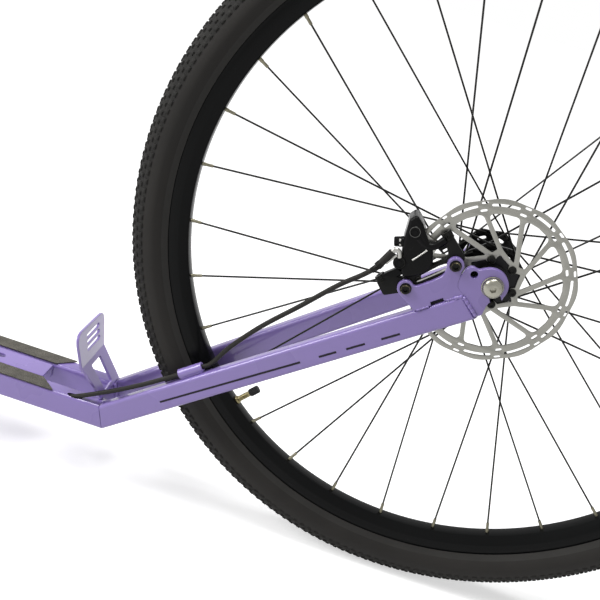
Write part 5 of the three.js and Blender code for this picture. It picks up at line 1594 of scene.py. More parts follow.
    def welds(self) -> None:
        """Weld beads where stays, tab, dropouts and bridge meet."""
        top = self.height / 2
        parts = []
        for side in Side:
            s = side.value
            low = self.on_stay(self.end_back - 0.005, -0.0105, s * 0.0562)
            high = self.on_stay(self.end_back + 0.0002, 0.012, s * 0.0562)
            parts.append(weld_bead("bead", [low, high], 2.0 * MM, 5 * MM))
            parts.append(weld_bead("bead", [high, self.on_stay(self.end_back + 0.009, 0.0136, s
                    * 0.0562)], 1.9 * MM, 5 * MM))
            for rise in (-0.0115, 0.0115):
                at = self.kink + self.kink_up * rise
                parts.append(weld_bead("bead", [(at.x - 0.0035, s * 0.0176, at.z),
                                                (at.x - 0.0035, s * 0.015, at.z)], 1.0 * MM))
        for start, end in ((0.03, 0.044), (0.061, 0.074)):
            parts.append(weld_bead("bead", [self.on_stay(start, top + 0.0002, -0.056),
                                            self.on_stay(end, top + 0.0002, -0.0558)], 1.1 * MM))
            parts.append(weld_bead("bead", [self.on_stay(start, top + 0.0002, -0.05),
                                            self.on_stay(end, top + 0.0002, -0.05)], 1.1 * MM))
        for part in parts:
            SHOP.dress(part, "frame_paint")
        mounted(joined("rear_weld_beads", parts), "frame", "frame_paint")


# ---------------------------------------------------------------- brakes


@dataclass
class Brake:
    """A post-mounted disc brake, drawn round the rear axle and put in place by a matrix.

    Attributes:
        prefix: which brake it is.
        place: from the drawing, whose origin is the axle, to the bike.
        body: the CAD body that holds the caliper.
        bolts: whether the two tab bolts belong to the adapter.
        rotor_y: the rotor's place across.
        rotor_radius: its radius.
        outer: the caliper's outer face.
        inner: its inner face.
    """

    prefix: str
    place: Matrix
    body: str
    bolts: bool = False
    rotor_y: float = -0.0395
    rotor_radius: float = 0.08
    outer: float = -0.055
    inner: float = -0.025

    def finish(self, piece: Piece, finish: str, node: str, body: str | None = None,
               weighted: bool = True) -> Piece:
        """Puts a piece in place and hangs it on its body."""
        settled(smoothed(piece, SMOOTH, weighted), self.place)
        return mounted(piece, body or self.body, finish, f"{self.prefix}_{node}")

    def build(self) -> None:
        """Builds the whole brake."""
        self.adapter()
        self.caliper()
        self.pad("outer", -1)
        self.pad("inner", 1)

    def adapter(self) -> None:
        """The adapter bar with its two caliper bolts."""
        corners = [(-103, -32, 3), (-92, -43, 2.5), (-80, -36.5, 3), (-69.4, -31.2, 4), (-36.2, 1.6,
                4), (-30.8, 9, 3), (-33, 18, 2.5), (-49.5, 32, 2), (-56.4, 27, 2), (-48, 15.2, 3),
                   (-48, 10.5, 3), (-80.7, -20.8, 4), (-87, -21.2, 2), (-95, -23, 2)]
        pocket = [(x, z, 2.5) for x, z in ((-70.5, -18.5), (-66.5, -20), (-44, 1), (-45.5, 7), (-52,
                2))]
        bar = side_plate("bar", rounded(in_mm(corners), 4), -0.0502, -0.0422,
                         [rounded(in_mm(pocket), 3)], 0.8 * MM, 2)
        # The steel strip on the adapter's upper edge is a bare machined edge and also a painted
        # highlight where that edge catches the light.
        edge = rod("edge", Vector((-66.6, -48.4, -20.3)) * MM, Vector((-44.2, -48.4, 0.6)) * MM,
                   0.0017, sides=12, edge=0.0003)
        parts = [SHOP.dress(bar, "brake_cast"), SHOP.dress(edge, "axle_steel")]
        for (x, z), (foot_x, foot_z) in (((-102.3, -25.7), (-92.9, -32.8)), ((-57.5, 33.8), (-43.2,
                20.9))):
            parts += self.post_bolt(Vector((x, -46.2, z)) * MM, Vector((foot_x, -46.2, foot_z))
                                    * MM)
        if self.bolts:
            x0, _, z0 = REAR_AXLE
            parts += [RearEnd.socket_bolt("bolt", (x - x0, z - z0)) for x, z in RearEnd().mounts]
        self.finish(joined(f"{self.prefix}_adapter_bar", parts), "brake_cast", "caliper_adapter",
                    weighted=False)

    def post_bolt(self, top: Vector, foot: Vector) -> list[Piece]:
        """A knurled bolt with its stack of washers, from its top towards its foot."""
        outline = [polar(0.0051 if k % 2 else 0.0046, TURN * k / 36) for k in range(36)]
        head = side_plate("head", outline, 0, 0.005, [circle((0, 0), 0.0024, 6)], 0.4 * MM)
        stack = in_mm([(0, 3), (3, 3), (3, 5), (5, 5), (5, 5.8), (4.4, 6), (5.2, 6.2), (5.2, 7.4),
                       (4, 7.7), (4, 11), (0, 11)])
        place = moved(*top) @ facing((foot - top).normalized())
        return [SHOP.dress(settled(part, place), "bolt_black")
                for part in (head, turned("washers", stack, 24))]

    def caliper(self) -> None:
        """The caliper: two bulging halves round the rotor, with its fittings."""
        corners = [(-87.8, 42.6, 4), (-93.2, 35.6, 3), (-92.0, 16.0, 6), (-89.2, 0.0, 6), (-84.0,
                -16.0, 5), (-78.8, -19.2, 4), (-62.8, -9.1, 9), (-58.4, 1.9, 8), (-62.5, 13.5, 8),
                   (-71.5, 24.0, 8), (-79.6, 35.4, 6)]
        body = side_plate("body", rounded(in_mm(corners), 5), self.outer, self.inner, bevel=3.2
                          * MM, rings=3)
        room = [(x, z, 3) for x, z in ((-66, -36), (-30, -6), (-30, 24), (-46, 16), (-80.5, -19.5),
                                       (-88, -24))]
        cutters = [side_plate("cutter", outline, low, high, bevel=0) for outline, low,
                   high in ((circle((0, 0), self.rotor_radius + 0.001, 96), self.rotor_y - 0.0019,
                             self.rotor_y + 0.0019), (self.pad_outline(0.4 * MM), self.rotor_y
                                                      - 0.0055, self.rotor_y + 0.0055),
                            (rounded(in_mm(room), 3), -0.051, -0.0418))]
        parts = [SHOP.dress(carved(body, cutters), "brake_black")]
        ears = [[(-80.3, -16, 2), (-88, -12.8, 3), (-101.6, -25.6, 2), (-95.2, -32, 2)],
                [(-62, 20.5, 2), (-56.5, 14.5, 3), (-46.5, 25.5, 2.5), (-54.5, 33.0, 2.5)]]
        for ear in ears:
            parts.append(SHOP.dress(side_plate("ear", rounded(in_mm(ear), 4), -0.05, -0.0424,
                                               bevel=1.2 * MM, rings=2), "brake_black"))
        parts += self.caliper_fittings()
        self.finish(joined(f"{self.prefix}_caliper_body", parts), "brake_black", "caliper")

    def caliper_fittings(self) -> list[Piece]:
        """The cap, banjo, bleed screw, arm, rib and hose barrel on the caliper."""
        y, deep = self.outer, self.outer + 0.006
        parts: list[Piece] = []

        def at(x: float, across: float, z: float) -> Vector:
            """A place in millimetres with Y in metres."""
            return Vector((x * MM, across, z * MM))

        def add(piece: Piece, finish: str = "brake_black", x: float = 0, z: float = 0) -> None:
            """Adds a part, dressed and moved by millimetres."""
            parts.append(SHOP.dress(settled(piece, moved(*at(x, 0, z))), finish))

        cap = [(0, y + 0.002), (0.0056, y + 0.002), (0.0056, y - 0.0004), (0.005, y - 0.0012),
               (0.004, y - 0.0012), (0.0038, y - 0.0004), (0.0022, y - 0.0004), (0.002, y - 0.001),
               (0, y - 0.001)]
        for x, z, share in ((-84.6, 26.7, 1.0), (-88.5, -6.0, 1.1)):
            add(turned("cap", [(r * share, a) for r, a in cap], 28), x=x, z=z)
        ring = [(0.0046, y - 0.0009), (0.0052, y - 0.0009), (0.0052, y - 0.0013), (0.0046, y
                - 0.0013)]
        add(turned("ring", ring, 32, closed=True), "bolt_black", -88.5, -6.0)
        # The grey ring on the cap's rim is a painted highlight, standing in for the thin highlights
        # on that dark rim.
        add(turned("ring", [(r * 0.98, a) for r, a in ring], 32, closed=True), "painted_highlight_grey", -84.6,
            26.7)
        add(rod("knob", at(-90.5, deep, 13.4), at(-99.6, deep, 10.4), 0.0052, 0.0046, 20, 0.001))
        add(rod("neck", at(-93.2, deep, 12.5), at(-95.0, deep, 11.9), 0.0055, sides=6, edge=0.0003),
            "axle_steel")
        arm = [at(-79.5, y + 0.0026, 22.0), at(-74.0, y + 0.003, 18.2), at(-67.5, y + 0.0036, 16.8),
               at(-61.5, y + 0.0046, 19.6), at(-55.5, deep, 27.0)]
        add(tube("arm", smooth_path(arm, 5), 0.0037, 4))
        add(rod("rib", at(-78.2, y - 0.0002, 0.2), at(-68.2, y - 0.0002, 13.8), 0.00085, sides=12,
                edge=0.0002), "axle_steel")
        add(rod("barrel", at(-105.2, -0.0565, -12.4), at(-98.0, -0.056, 2.6), 0.0036, edge=0.0005),
            "hose_rubber")
        add(rod("nut", at(-107.0, -0.0569, -15.6), at(-104.6, -0.0565, -11.2), 0.0042, sides=6,
                edge=0.0003), "bolt_black")
        elbow = [at(-98.6, -0.056, 1.6), at(-96.0, -0.0558, 5.2), at(-92.6, -0.0556, 4.4),
                 at(-90.0, -0.0555, -1.0)]
        add(tube("elbow", smooth_path(elbow, 6), 0.0024, 3), "axle_steel")
        # The thin steel link beside the hose barrel is a painted highlight: it stands in for the
        # light along the barrel's lower side.
        link = [at(-100.5, -0.055, -10.5), at(-93.5, -0.055, 0.4)]
        add(tube("link", link, 0.0016, 2), "axle_steel")
        bulge = [(0, y + 0.003), (0.0118, y + 0.003), (0.0116, y + 0.0008), (0.0104, y - 0.0001),
                 (0, y - 0.0001)]
        add(turned("bulge", bulge, 40), x=-74.5, z=3.5)
        return parts

    def pad_outline(self, margin: float) -> list[Flat]:
        """A pad's outline, as an arched block near the rotor's edge."""
        middle, half = radians(171), radians(10) + margin / self.rotor_radius
        low, high = self.rotor_radius - 0.019 - margin, self.rotor_radius + margin
        return arc((0, 0), high, middle - half, middle + half, 8) + arc((0, 0), low, middle + half,
                                                                      middle - half, 6)

    def pad(self, word: str, side: int) -> None:
        """One pad, on the side of the rotor that the sign says: a steel back and its lining."""
        face = self.rotor_y + side * 0.0012
        seam, back = face + side * 0.002, face + side * 0.004
        lining = side_plate("lining", self.pad_outline(-0.001), min(face, seam), max(face, seam),
                            bevel=0.25 * MM)
        plate = side_plate("back", self.pad_outline(0), min(seam, back), max(seam, back), bevel=0.25
                           * MM)
        parts = [SHOP.dress(lining, "pad_lining"), SHOP.dress(plate, "axle_steel")]
        piece = joined(f"{self.prefix}_{word}_pad_block", parts)
        self.finish(piece, "pad_lining", f"{word}_pad", body=f"{self.prefix}_{word}_pad")


# ---------------------------------------------------------------- front of the frame


@dataclass(frozen=True)
class SteeringAxis:
    """The line that the fork turns about.

    Attributes:
        foot: where it passes nearest to the front axle.
        lean: its angle above the ground, seen from the front.
    """

    foot: Place = (-0.6072017, 0, 0.3450942)
    lean: float = radians(72)

    @property
    def up(self) -> Vector:
        """The direction along it, upwards."""
        return Vector((cos(self.lean), 0, sin(self.lean)))

    @property
    def forward(self) -> Vector:
        """The direction square to it, forwards."""
        return Vector((-sin(self.lean), 0, cos(self.lean)))

    def at(self, along: float, forward: float = 0, across: float = 0) -> Vector:
        """A place by its distances along, ahead of and beside the axis."""
        return Vector(self.foot) + self.up * along + self.forward * forward + Vector((0, across, 0))

    def stood(self, piece: Piece) -> Piece:
        """Stands a piece that was turned about Y up along the axis."""
        return settled(piece, moved(*self.foot) @ facing(self.up))


AXIS = SteeringAxis()


@dataclass
class FrameFront:
    """The down tube and the head of the frame.

    Attributes:
        foot: the lower end of the down tube.
        bend: its corner.
        width: its width.
        depth: its depth.
        corner: the rounding of its long edges.
        head_low: the lower end of the head tube, along the steering axis.
        head_high: its upper end.
        head_radius: its radius.
        cup_height: how far a headset cup stands out.
        cup_radius: the cup's radius.
        eye_shares: where the hose eyes are, as shares of the hose's length.
    """

    foot: Place = (-0.13, 0, 0.072)
    bend: Place = (-0.207, 0, 0.44)
    width: float = 0.0354
    depth: float = 0.044
    corner: float = 0.0075
    head_low: float = 0.4093
    head_high: float = 0.5493
    head_radius: float = 0.02
    cup_height: float = 0.014
    cup_radius: float = 0.021
    eye_shares: tuple[float, ...] = (0.5878, 0.7108, 0.8818, 0.9813)

    @property
    def head(self) -> Vector:
        """The middle of the head tube."""
        return AXIS.at((self.head_low + self.head_high) / 2)

    def finish(self, piece: Piece, node: str, finish: str = "frame_paint") -> Piece:
        """Dresses a piece and hangs it on the frame's body."""
        if not piece.data.materials:
            SHOP.dress(piece, finish)
        return mounted(smoothed(piece, SMOOTH, True), "frame", finish, node)

    def build(self) -> None:
        """Builds the front of the frame."""
        self.down_tube()
        self.gusset()
        self.head_tube()
        self.cup("lower_headset_cup", self.head_low, -1)
        self.cup("upper_headset_cup", self.head_high, 1)
        self.head_weld()

    def head_cutter(self, radius: float) -> Piece:
        """A cutter along the head tube."""
        return rod("cutter", AXIS.at(self.head_low - 0.03), AXIS.at(self.head_high + 0.03), radius,
                   sides=48)

    def down_tube(self) -> None:
        """The bent box tube between the deck and the head, with its hose eyes."""
        foot, bend, head = Vector(self.foot), Vector(self.bend), self.head
        lower, upper = (bend - foot).normalized(), (head - bend).normalized()
        along = (lower + upper).normalized()
        ups = [Vector((-1, 0, 0)) / lower.z, Vector((-along.z, 0, along.x)) / along.dot(lower),
               Vector((-upper.z, 0, upper.x))]
        rings = [box_ring(centre, Vector((0, 1, 0)), up, self.width, self.depth, self.corner, 6)
                 for centre, up in zip((foot, bend, head), ups)]
        piece = carved(skinned("down_tube_skin", rings), [self.head_cutter(self.head_radius + FIT)])
        parts = [SHOP.dress(piece, "frame_paint"), *self.eyes()]
        self.finish(joined("down_tube_skin", parts), "down_tube")

    def eyes(self) -> list[Piece]:
        """The hose eyes on the left of the tube: small blocks that the hose runs through."""
        path = smooth_path(REAR_HOSE_ROUTE, 8)
        lengths = [0.0]
        for a, b in zip(path, path[1:]):
            lengths.append(lengths[-1] + (b - a).length)
        parts = []
        for share in self.eye_shares:
            index = min(range(len(path)), key=lambda k: abs(lengths[k] - share * lengths[-1]))
            place = path[index]
            way = (path[min(index + 1, len(path) - 1)] - path[index - 1]).normalized()
            up = Vector((-way.z, 0, way.x)).normalized()
            rings = [box_ring(place + way * t, Vector((0, 1, 0)), up, 0.0082 * s, 0.0098 * s, 0.0036
                              * s, 5) for t, s in ((-0.0042, 0.82), (-0.0032, 1.0), (0.0032, 1.0),
                                                   (0.0042, 0.82))]
            block = skinned("eye", rings)
            base = skinned("base", [box_ring(place + Vector((0, y, 0)), way, up, 0.0068, 0.0085,
                                             0.002, 3) for y in (0.0015, 0.0055)])
            for part in (block, base):
                parts.append(SHOP.dress(part, "frame_paint"))
        return parts

    def gusset(self) -> None:
        """The plate under the corner of down tube and head tube."""
        heading = (self.head - Vector(self.bend)).normalized()
        along = self.head - heading * 0.11
        under = Vector((-heading.z, 0, heading.x))
        low = AXIS.at(self.head_low + 0.01, -self.head_radius)
        corners = [low, along + under * (self.depth / 2 - 0.001), along, self.head]
        outline = [(c.x, c.z) for c in corners]
        middle = [(low.x + (corners[1].x - low.x) * 0.45 - 0.006, low.z + (corners[1].z - low.z)
                   * 0.45 + 0.008)]
        shape = [outline[0], *middle, *outline[1:]]
        piece = side_plate("head_gusset_plate", shape, -0.004, 0.004, bevel=0.8 * MM, rings=2)
        self.finish(carved(piece, [self.head_cutter(self.head_radius + FIT)]), "head_gusset")

    def head_tube(self) -> None:
        """The head tube, a little thicker at its ends."""
        low, high, radius = self.head_low + FIT, self.head_high - FIT, self.head_radius
        section = [(0.0175, low), (radius - 0.0005, low), (radius, low + 0.0006), (radius, low
                + 0.016), (radius - 0.0009, low + 0.02), (radius - 0.0009, high - 0.02), (radius,
                high - 0.016), (radius, high - 0.0006), (radius - 0.0005, high), (0.0175, high)]
        piece = turned("head_tube_shell", section, 64, closed=True)
        self.finish(AXIS.stood(piece), "head_tube")

    def cup(self, node: str, face: float, side: int) -> None:
        """A headset cup with a stepped rim, standing out from an end face of the head tube."""
        r = self.cup_radius
        section = [(0.0145, 0), (r - 0.0004, 0), (r, 0.0005), (r, 0.0062), (r - 0.0006, 0.007),
                   (r - 0.0006, 0.008), (r, 0.0086), (r - 0.0002, 0.0118), (r - 0.0012, 0.0136),
                   (r - 0.0024, self.cup_height), (0.0145, self.cup_height)]
        piece = turned(f"{node}_ring", [(x, face + side * y) for x, y in section], 56, closed=True)
        self.finish(AXIS.stood(piece), node, "cockpit_black")

    def head_weld(self) -> None:
        """The weld bead round the down tube where it meets the head tube."""
        upper = (self.head - Vector(self.bend)).normalized()
        ring = box_ring(self.head, Vector((0, 1, 0)), Vector((-upper.z, 0, upper.x)), self.width
                        + 0.0006, self.depth + 0.0006, self.corner, 5)
        path = []
        for place in ring:
            start = place - AXIS.at(0)
            flat = start - AXIS.up * start.dot(AXIS.up)
            way = upper - AXIS.up * upper.dot(AXIS.up)
            a, b, c = way.dot(way), flat.dot(way), flat.dot(flat) - (self.head_radius + 0.0008) ** 2
            root = b * b - a * c
            path.append(place + upper * ((-b - sqrt(max(root, 0))) / a))
        path.append(path[0])
        piece = SHOP.dress(weld_bead("head_weld_bead", path, 1.6 * MM, 3 * MM), "frame_paint")
        mounted(piece, "frame", "frame_paint")


# ---------------------------------------------------------------- fork and cockpit


@dataclass
class Fork:
    """The fork with its crown, blades, dropouts and brake tab.

    Attributes:
        axle: the front axle's place.
        crown_low: the crown's underside, along the steering axis.
        crown_high: its top.
        crown_half: half its width.
        steerer_radius: the steerer's radius.
        steerer_top: its upper end.
        blade_back: from the axle to the blades' lower ends.
        brake_turn: how far the brake is turned from the rear one.
    """

    axle: Place = FRONT_AXLE
    crown_low: float = 0.37
    crown_high: float = 0.395
    crown_half: float = 0.055
    steerer_radius: float = 0.0143
    steerer_top: float = 0.6259
    blade_back: float = 0.028
    brake_turn: float = radians(153.33)

    @property
    def heading(self) -> Vector:
        """The direction from the front axle up the blades."""
        return (AXIS.at(self.crown_low) - Vector(self.axle)).normalized()

    @property
    def to_front(self) -> Matrix:
        """From the rear axle's drawing to the front axle."""
        return moved(*self.axle) @ about("Y", self.brake_turn)

    def build(self) -> None:
        """Builds the fork and its axle."""
        heading = self.heading
        parts = [rod("steerer", AXIS.at(self.crown_low + FIT), AXIS.at(self.steerer_top),
                     self.steerer_radius, sides=40)]
        corners = [(0.37, -0.016, 3), (0.37, 0.016, 5), (0.395, 0.012, 6), (0.395, -0.012, 6)]
        outline = []
        for along, forward, radius in corners:
            place = AXIS.at(along, forward)
            outline.append((place.x, place.z, radius * MM))
        crown = side_plate("crown", rounded(outline, 6), -self.crown_half, self.crown_half,
                           bevel=2.6 * MM, rings=3)
        parts.append(crown)
        for side in Side:
            s = side.value
            top = AXIS.at((self.crown_low + self.crown_high) / 2, 0, s * 0.043)
            bottom = Vector(self.axle) + heading * self.blade_back + Vector((0, s * 0.053, 0))
            parts.append(rod("blade", bottom, top, 0.009, 0.012, 40, 0.0022))
            parts.append(self.dropout(side))
        for part in parts:
            SHOP.dress(part, "frame_paint")
        parts.append(self.tab())
        piece = smoothed(joined("fork_assembly", parts), SMOOTH, True)
        mounted(piece, "steering", "frame_paint", "fork")
        self.axle_bar()

    def dropout(self, side: Side) -> Piece:
        """One fork dropout: a round plate with a slot and a tail into the blade."""
        heading, slot = self.heading, radians(-100)
        angle = atan2(heading.z, heading.x)
        tail_half, reach = 0.0087, self.blade_back + 0.03
        nx, nz = -sin(angle), cos(angle)
        open_half = asin(0.0051 / 0.0175)
        rim = arc((0, 0), 0.0175, slot + open_half, slot + TURN - open_half, 48)
        keep = [(x, z) for x, z in rim if x * heading.x + z * heading.z < 0.0151 or abs(x * nx + z
                * nz) > tail_half]
        tail = [(heading.x * reach + nx * tail_half * t, heading.z * reach + nz * tail_half * t)
                for t in (-1, 1)]
        split = max(range(len(keep) - 1), key=lambda k: dist(keep[k], keep[k + 1]))
        outline = keep[:split + 1] + tail + keep[split + 1:]
        outline += arc((0, 0), 0.0051, slot + TURN - QUARTER, slot + QUARTER, 10)
        shape = [(self.axle[0] + x, self.axle[2] + z) for x, z in outline]
        low, high = RearEnd.span(side, RearEnd.plate_near, RearEnd.plate_far)
        return side_plate("dropout", shape, low, high, bevel=0.8 * MM, rings=2)

    def tab(self) -> Piece:
        """The caliper tab of the fork."""
        rear = RearEnd()
        holes = [circle(place, 0.0031, 20) for place in rear.mounts]
        piece = side_plate("tab", rear.tab_outline(), -0.0555, -0.0505, holes, 0.8 * MM, 2)
        back = moved(-rear.axle[0], 0, -rear.axle[2])
        return SHOP.dress(settled(piece, self.to_front @ back), "frame_paint")

    def axle_bar(self) -> None:
        """The front axle with its two domed bolts, as one piece."""
        half = in_mm([*AXLE_DOME[::-1], (4.7, 49.7), (9, 49), (9, 43.6), (6, 43)])
        piece = turned("front_axle_bar", half + flipped(half), 40)
        sockets = [hex_socket(Vector((0, s * 0.0639, 0)), Vector((0, s, 0)), 0.0058, 0.0035)
                   for s in (-1, 1)]
        carved(piece, sockets)
        SHOP.dress(piece, "axle_steel")
        settled(piece, moved(*self.axle))
        mounted(smoothed(piece, SMOOTH, True), "steering", "axle_steel", "front_axle")


@dataclass
class Cockpit:
    """The stem, handlebar, grips and brake levers.

    Attributes:
        bar_centre: the middle of the handlebar.
        clamp_low: the underside of the stem's clamp, along the steering axis.
        clamp_high: its top.
        clamp_radius: its radius.
        bar_clamp_radius: the radius of the clamp round the bar.
        bar_clamp_half: half its width.
        bar_radius: the bar's radius.
        bulge_radius: the bar's radius in its middle.
        bulge_half: half the length of that middle.
        bulge_taper: how far it takes to thin down.
        grip_radius: a grip's radius.
    """

    bar_centre: Place = (-0.4918377, 0, 0.9577118)
    clamp_low: float = 0.5889
    clamp_high: float = 0.6309
    clamp_radius: float = 0.018
    bar_clamp_radius: float = 0.0205
    bar_clamp_half: float = 0.023
    bar_radius: float = 0.0111
    bulge_radius: float = 0.0159
    bulge_half: float = 0.028
    bulge_taper: float = 0.014
    grip_radius: float = 0.016

    def finish(self, piece: Piece, node: str, finish: str = "cockpit_black", body: str = "steering",
               angle: float = SMOOTH) -> Piece:
        """Dresses a piece and hangs it on its body."""
        if not piece.data.materials:
            SHOP.dress(piece, finish)
        return mounted(smoothed(piece, angle, True), body, finish, node)

    @property
    def heading(self) -> Vector:
        """The direction from the stem's clamp to the bar."""
        return (Vector(self.bar_centre) - AXIS.at((self.clamp_low + self.clamp_high)
                                                  / 2)).normalized()

    def build(self) -> None:
        """Builds the whole cockpit."""
        self.spacer()
        self.stem()
        self.faceplate()
        self.top_cap()
        self.handlebar()
        for side in Side:
            self.grip(side)
            self.lever_body(side)
            self.lever(side)

    def spacer(self) -> None:
        """The spacer between headset and stem, in three rings."""
        section = [(0.0146, 0.5636)]
        for k in range(3):
            low, high = 0.5636 + k * 0.00833, 0.5636 + (k + 1) * 0.00833
            section += [(0.0172, low), (0.0175, low + 0.0003), (0.0175, high - 0.0003), (0.0172,
                    high)]
        section.append((0.0146, 0.5886))
        self.finish(AXIS.stood(turned("headset_spacer_rings", section, 48, closed=True)),
                    "headset_spacer")

    def clamp_half_ring(self, ahead: bool) -> list[Piece]:
        """One half of the clamp round the bar, with its four screw lugs.

        Args:
            ahead: whether it is the faceplate's half.

        Returns:
            Its parts.
        """
        heading, centre = self.heading, Vector(self.bar_centre)
        up = Vector((-heading.z, 0, heading.x))
        sign = 1 if ahead else -1
        tilt = atan2(heading.z, heading.x)
        gap = asin(0.0005 / self.bar_clamp_radius)
        start, end = (-QUARTER + gap, QUARTER - gap) if ahead else (QUARTER + gap, 3 * QUARTER
                - gap)
        inner = self.bulge_radius + FIT
        ring = arc((0, 0), self.bar_clamp_radius, tilt + start, tilt + end, 24)
        ring += arc((0, 0), inner, tilt + end, tilt + start, 20)
        outline = [(centre.x + x, centre.z + z) for x, z in ring]
        parts = [side_plate("clamp", outline, -self.bar_clamp_half, self.bar_clamp_half, bevel=1.0
                            * MM, rings=2)]
        for side in (-1, 1):
            for rise in (-1, 1):
                place = centre + Vector((0, side * 0.01472, 0)) + up * (rise * 0.0195)
                near, far = place + heading * (sign * 0.0005), place + heading * (sign * 0.0082)
                parts.append(rod("lug", near, far, 0.0049, sides=24, edge=0.0006))
                if ahead:
                    parts.append(rod("screw", far - heading * 0.001, far, 0.0034, sides=16))
        return parts

    def stem(self) -> None:
        """The stem: a clamp on the steerer, a tapered arm, and half a clamp round the bar."""
        middle = AXIS.at((self.clamp_low + self.clamp_high) / 2)
        r = self.clamp_radius
        section = [(0.0146, self.clamp_low), (r - 0.0006, self.clamp_low), (r, self.clamp_low
                + 0.0006), (r, self.clamp_high - 0.0006), (r - 0.0006, self.clamp_high), (0.0146,
                self.clamp_high)]
        clamp = AXIS.stood(turned("clamp", section, 48, closed=True))
        end = Vector(self.bar_centre) - self.heading * (self.bulge_radius + 0.0012)
        start = middle + self.heading * 0.015
        rings = []
        up = Vector((-self.heading.z, 0, self.heading.x))
        for t, wide, high in ((0, 0.0128, 0.015), (0.3, 0.0125, 0.013), (0.7, 0.0128, 0.0118),
                              (1, 0.015, 0.0122)):
            rings.append(round_ring(start.lerp(end, t), Vector((0, 1, 0)), up, wide, high, 32))
        arm = skinned("arm", rings)
        parts = [clamp, arm, *self.clamp_half_ring(False)]
        for rise in (0.0105, 0.0315):
            boss = AXIS.at(self.clamp_low + rise, -r + 0.0015)
            parts.append(rod("boss", boss + Vector((0, -0.0085, 0)), boss + Vector((0, 0.0085, 0)),
                             0.0046, sides=24, edge=0.0006))
        for part in parts:
            SHOP.dress(part, "cockpit_black")
        self.finish(joined("stem_forging", parts), "stem")

    def faceplate(self) -> None:
        """The stem's faceplate with its four bolts."""
        parts = self.clamp_half_ring(True)
        for part in parts:
            SHOP.dress(part, "bolt_black" if part.name.startswith("screw") else "cockpit_black")
        self.finish(joined("stem_faceplate_half", parts), "stem_faceplate")

    def top_cap(self) -> None:
        """The stem's top cap with its hexagon socket."""
        low = 0.6312
        section = [(0, low), (0.018, low), (0.018, low + 0.0012), (0.0174, low + 0.0034), (0.0155,
                low + 0.005), (0.0062, low + 0.005), (0.0058, low + 0.0044), (0, low + 0.0044)]
        piece = turned("stem_top_cap_lid", section, 48)
        carved(piece, [hex_socket(Vector((0, low + 0.0044, 0)), Vector((0, 1, 0)), 0.006, 0.0022)])
        SHOP.dress(piece, "cockpit_black")
        self.finish(AXIS.stood(piece), "stem_top_cap")

    def bar_corners(self, side: Side) -> list[Vector]:
        """The corners of the bar's centre line on one side, from the middle out."""
        s = side.value
        corners = [(0, 0.045, 0), (0.008, 0.115, 0.044), (0.04, 0.306, 0.047)]
        return [Vector(self.bar_centre) + Vector((x, s * y, z)) for x, y, z in corners]

    def handlebar(self) -> None:
        """The handlebar: one tube that bulges in the middle, with rounded bends."""
        corners = [*reversed(self.bar_corners(Side.LEFT)), *self.bar_corners(Side.RIGHT)]
        path, trim = [corners[0]], 0.022
        for before, here, after in zip(corners, corners[1:], corners[2:]):
            start = here + (before - here).normalized() * trim
            end = here + (after - here).normalized() * trim
            path += [start * (1 - t) ** 2 + here * 2 * t * (1 - t) + end * t**2 for t in
                     (k / 10 for k in range(11))]
            if before.y < 0 < here.y or here.y < 0 < after.y:
                span = (-0.042, -0.037, -0.032, -0.028, 0.028, 0.032, 0.037, 0.042)
                if here.y < 0:
                    path += [Vector((self.bar_centre[0], y, self.bar_centre[2])) for y in span]
        path.append(corners[-1])
        path = sorted(path, key=lambda place: place.y)
        swell = []
        full = self.bulge_radius / self.bar_radius
        for place in path:
            share = min(1.0, max(0.0, (self.bulge_half + self.bulge_taper - abs(place.y))
                                 / self.bulge_taper))
            at_bar = abs(place.z - self.bar_centre[2]) < 0.002
            swell.append(1 + (full - 1) * (share if at_bar else 0))
        piece = tube("handlebar_tube", path, self.bar_radius, 7, swell)
        self.finish(SHOP.dress(piece, "cockpit_black"), "handlebar", angle=radians(50))

    def grip_axes(self, side: Side) -> tuple[Vector, Vector, Vector, Vector]:
        """The bar's end, and the directions inward, ahead and up from it."""
        _, shoulder, tip = self.bar_corners(side)
        inward = (shoulder - tip).normalized()
        up = (Vector((0, 0, 1)) - inward * inward.z).normalized()
        ahead = up.cross(inward)
        return tip, inward, ahead if ahead.x < 0 else -ahead, up

    def along_bar(self, piece: Piece, side: Side) -> Piece:
        """Lays a piece that was turned about Y along the grip, from the bar's end inwards."""
        tip, inward, _, _ = self.grip_axes(side)
        return settled(piece, moved(*tip) @ facing(inward))

    def grip(self, side: Side) -> None:
        """A ribbed grip with a lock ring at its inner end."""
        r = self.grip_radius
        section = [(0, -0.004), (r - 0.0024, -0.004), (r - 0.0006, -0.003), (r, -0.001), (r, 0.004)]
        place = 0.006
        while place < 0.12:
            section += [(r - 0.0009, place), (r - 0.0009, place + 0.0011), (r, place + 0.0016),
                        (r, place + 0.0034)]
            place += 0.004
        section += [(r, 0.125), (0.0114, 0.1252), (0.0114, -0.0003), (0, -0.0003)]
        body = SHOP.dress(turned("body", section, 40), "grip_rubber")
        collar = in_mm([(11.4, 125.6), (17.4, 125.6), (18, 126.2), (18, 129.4), (17.4, 130), (11.4,
                130)])
        ring = SHOP.dress(turned("collar", collar, 40, closed=True), "cockpit_black")
        piece = self.along_bar(joined(f"{side.word}_grip_sleeve", [body, ring]), side)
        self.finish(piece, f"{side.word}_grip", "grip_rubber", angle=radians(40))

    def lever_body(self, side: Side) -> None:
        """The lever's clamp, neck, cylinder and lugs."""
        tip, inward, ahead, up = self.grip_axes(side)

        def at(along: float, front: float, rise: float = 0) -> Vector:
            """A place by the bar's end."""
            return tip + inward * along + ahead * front + up * rise

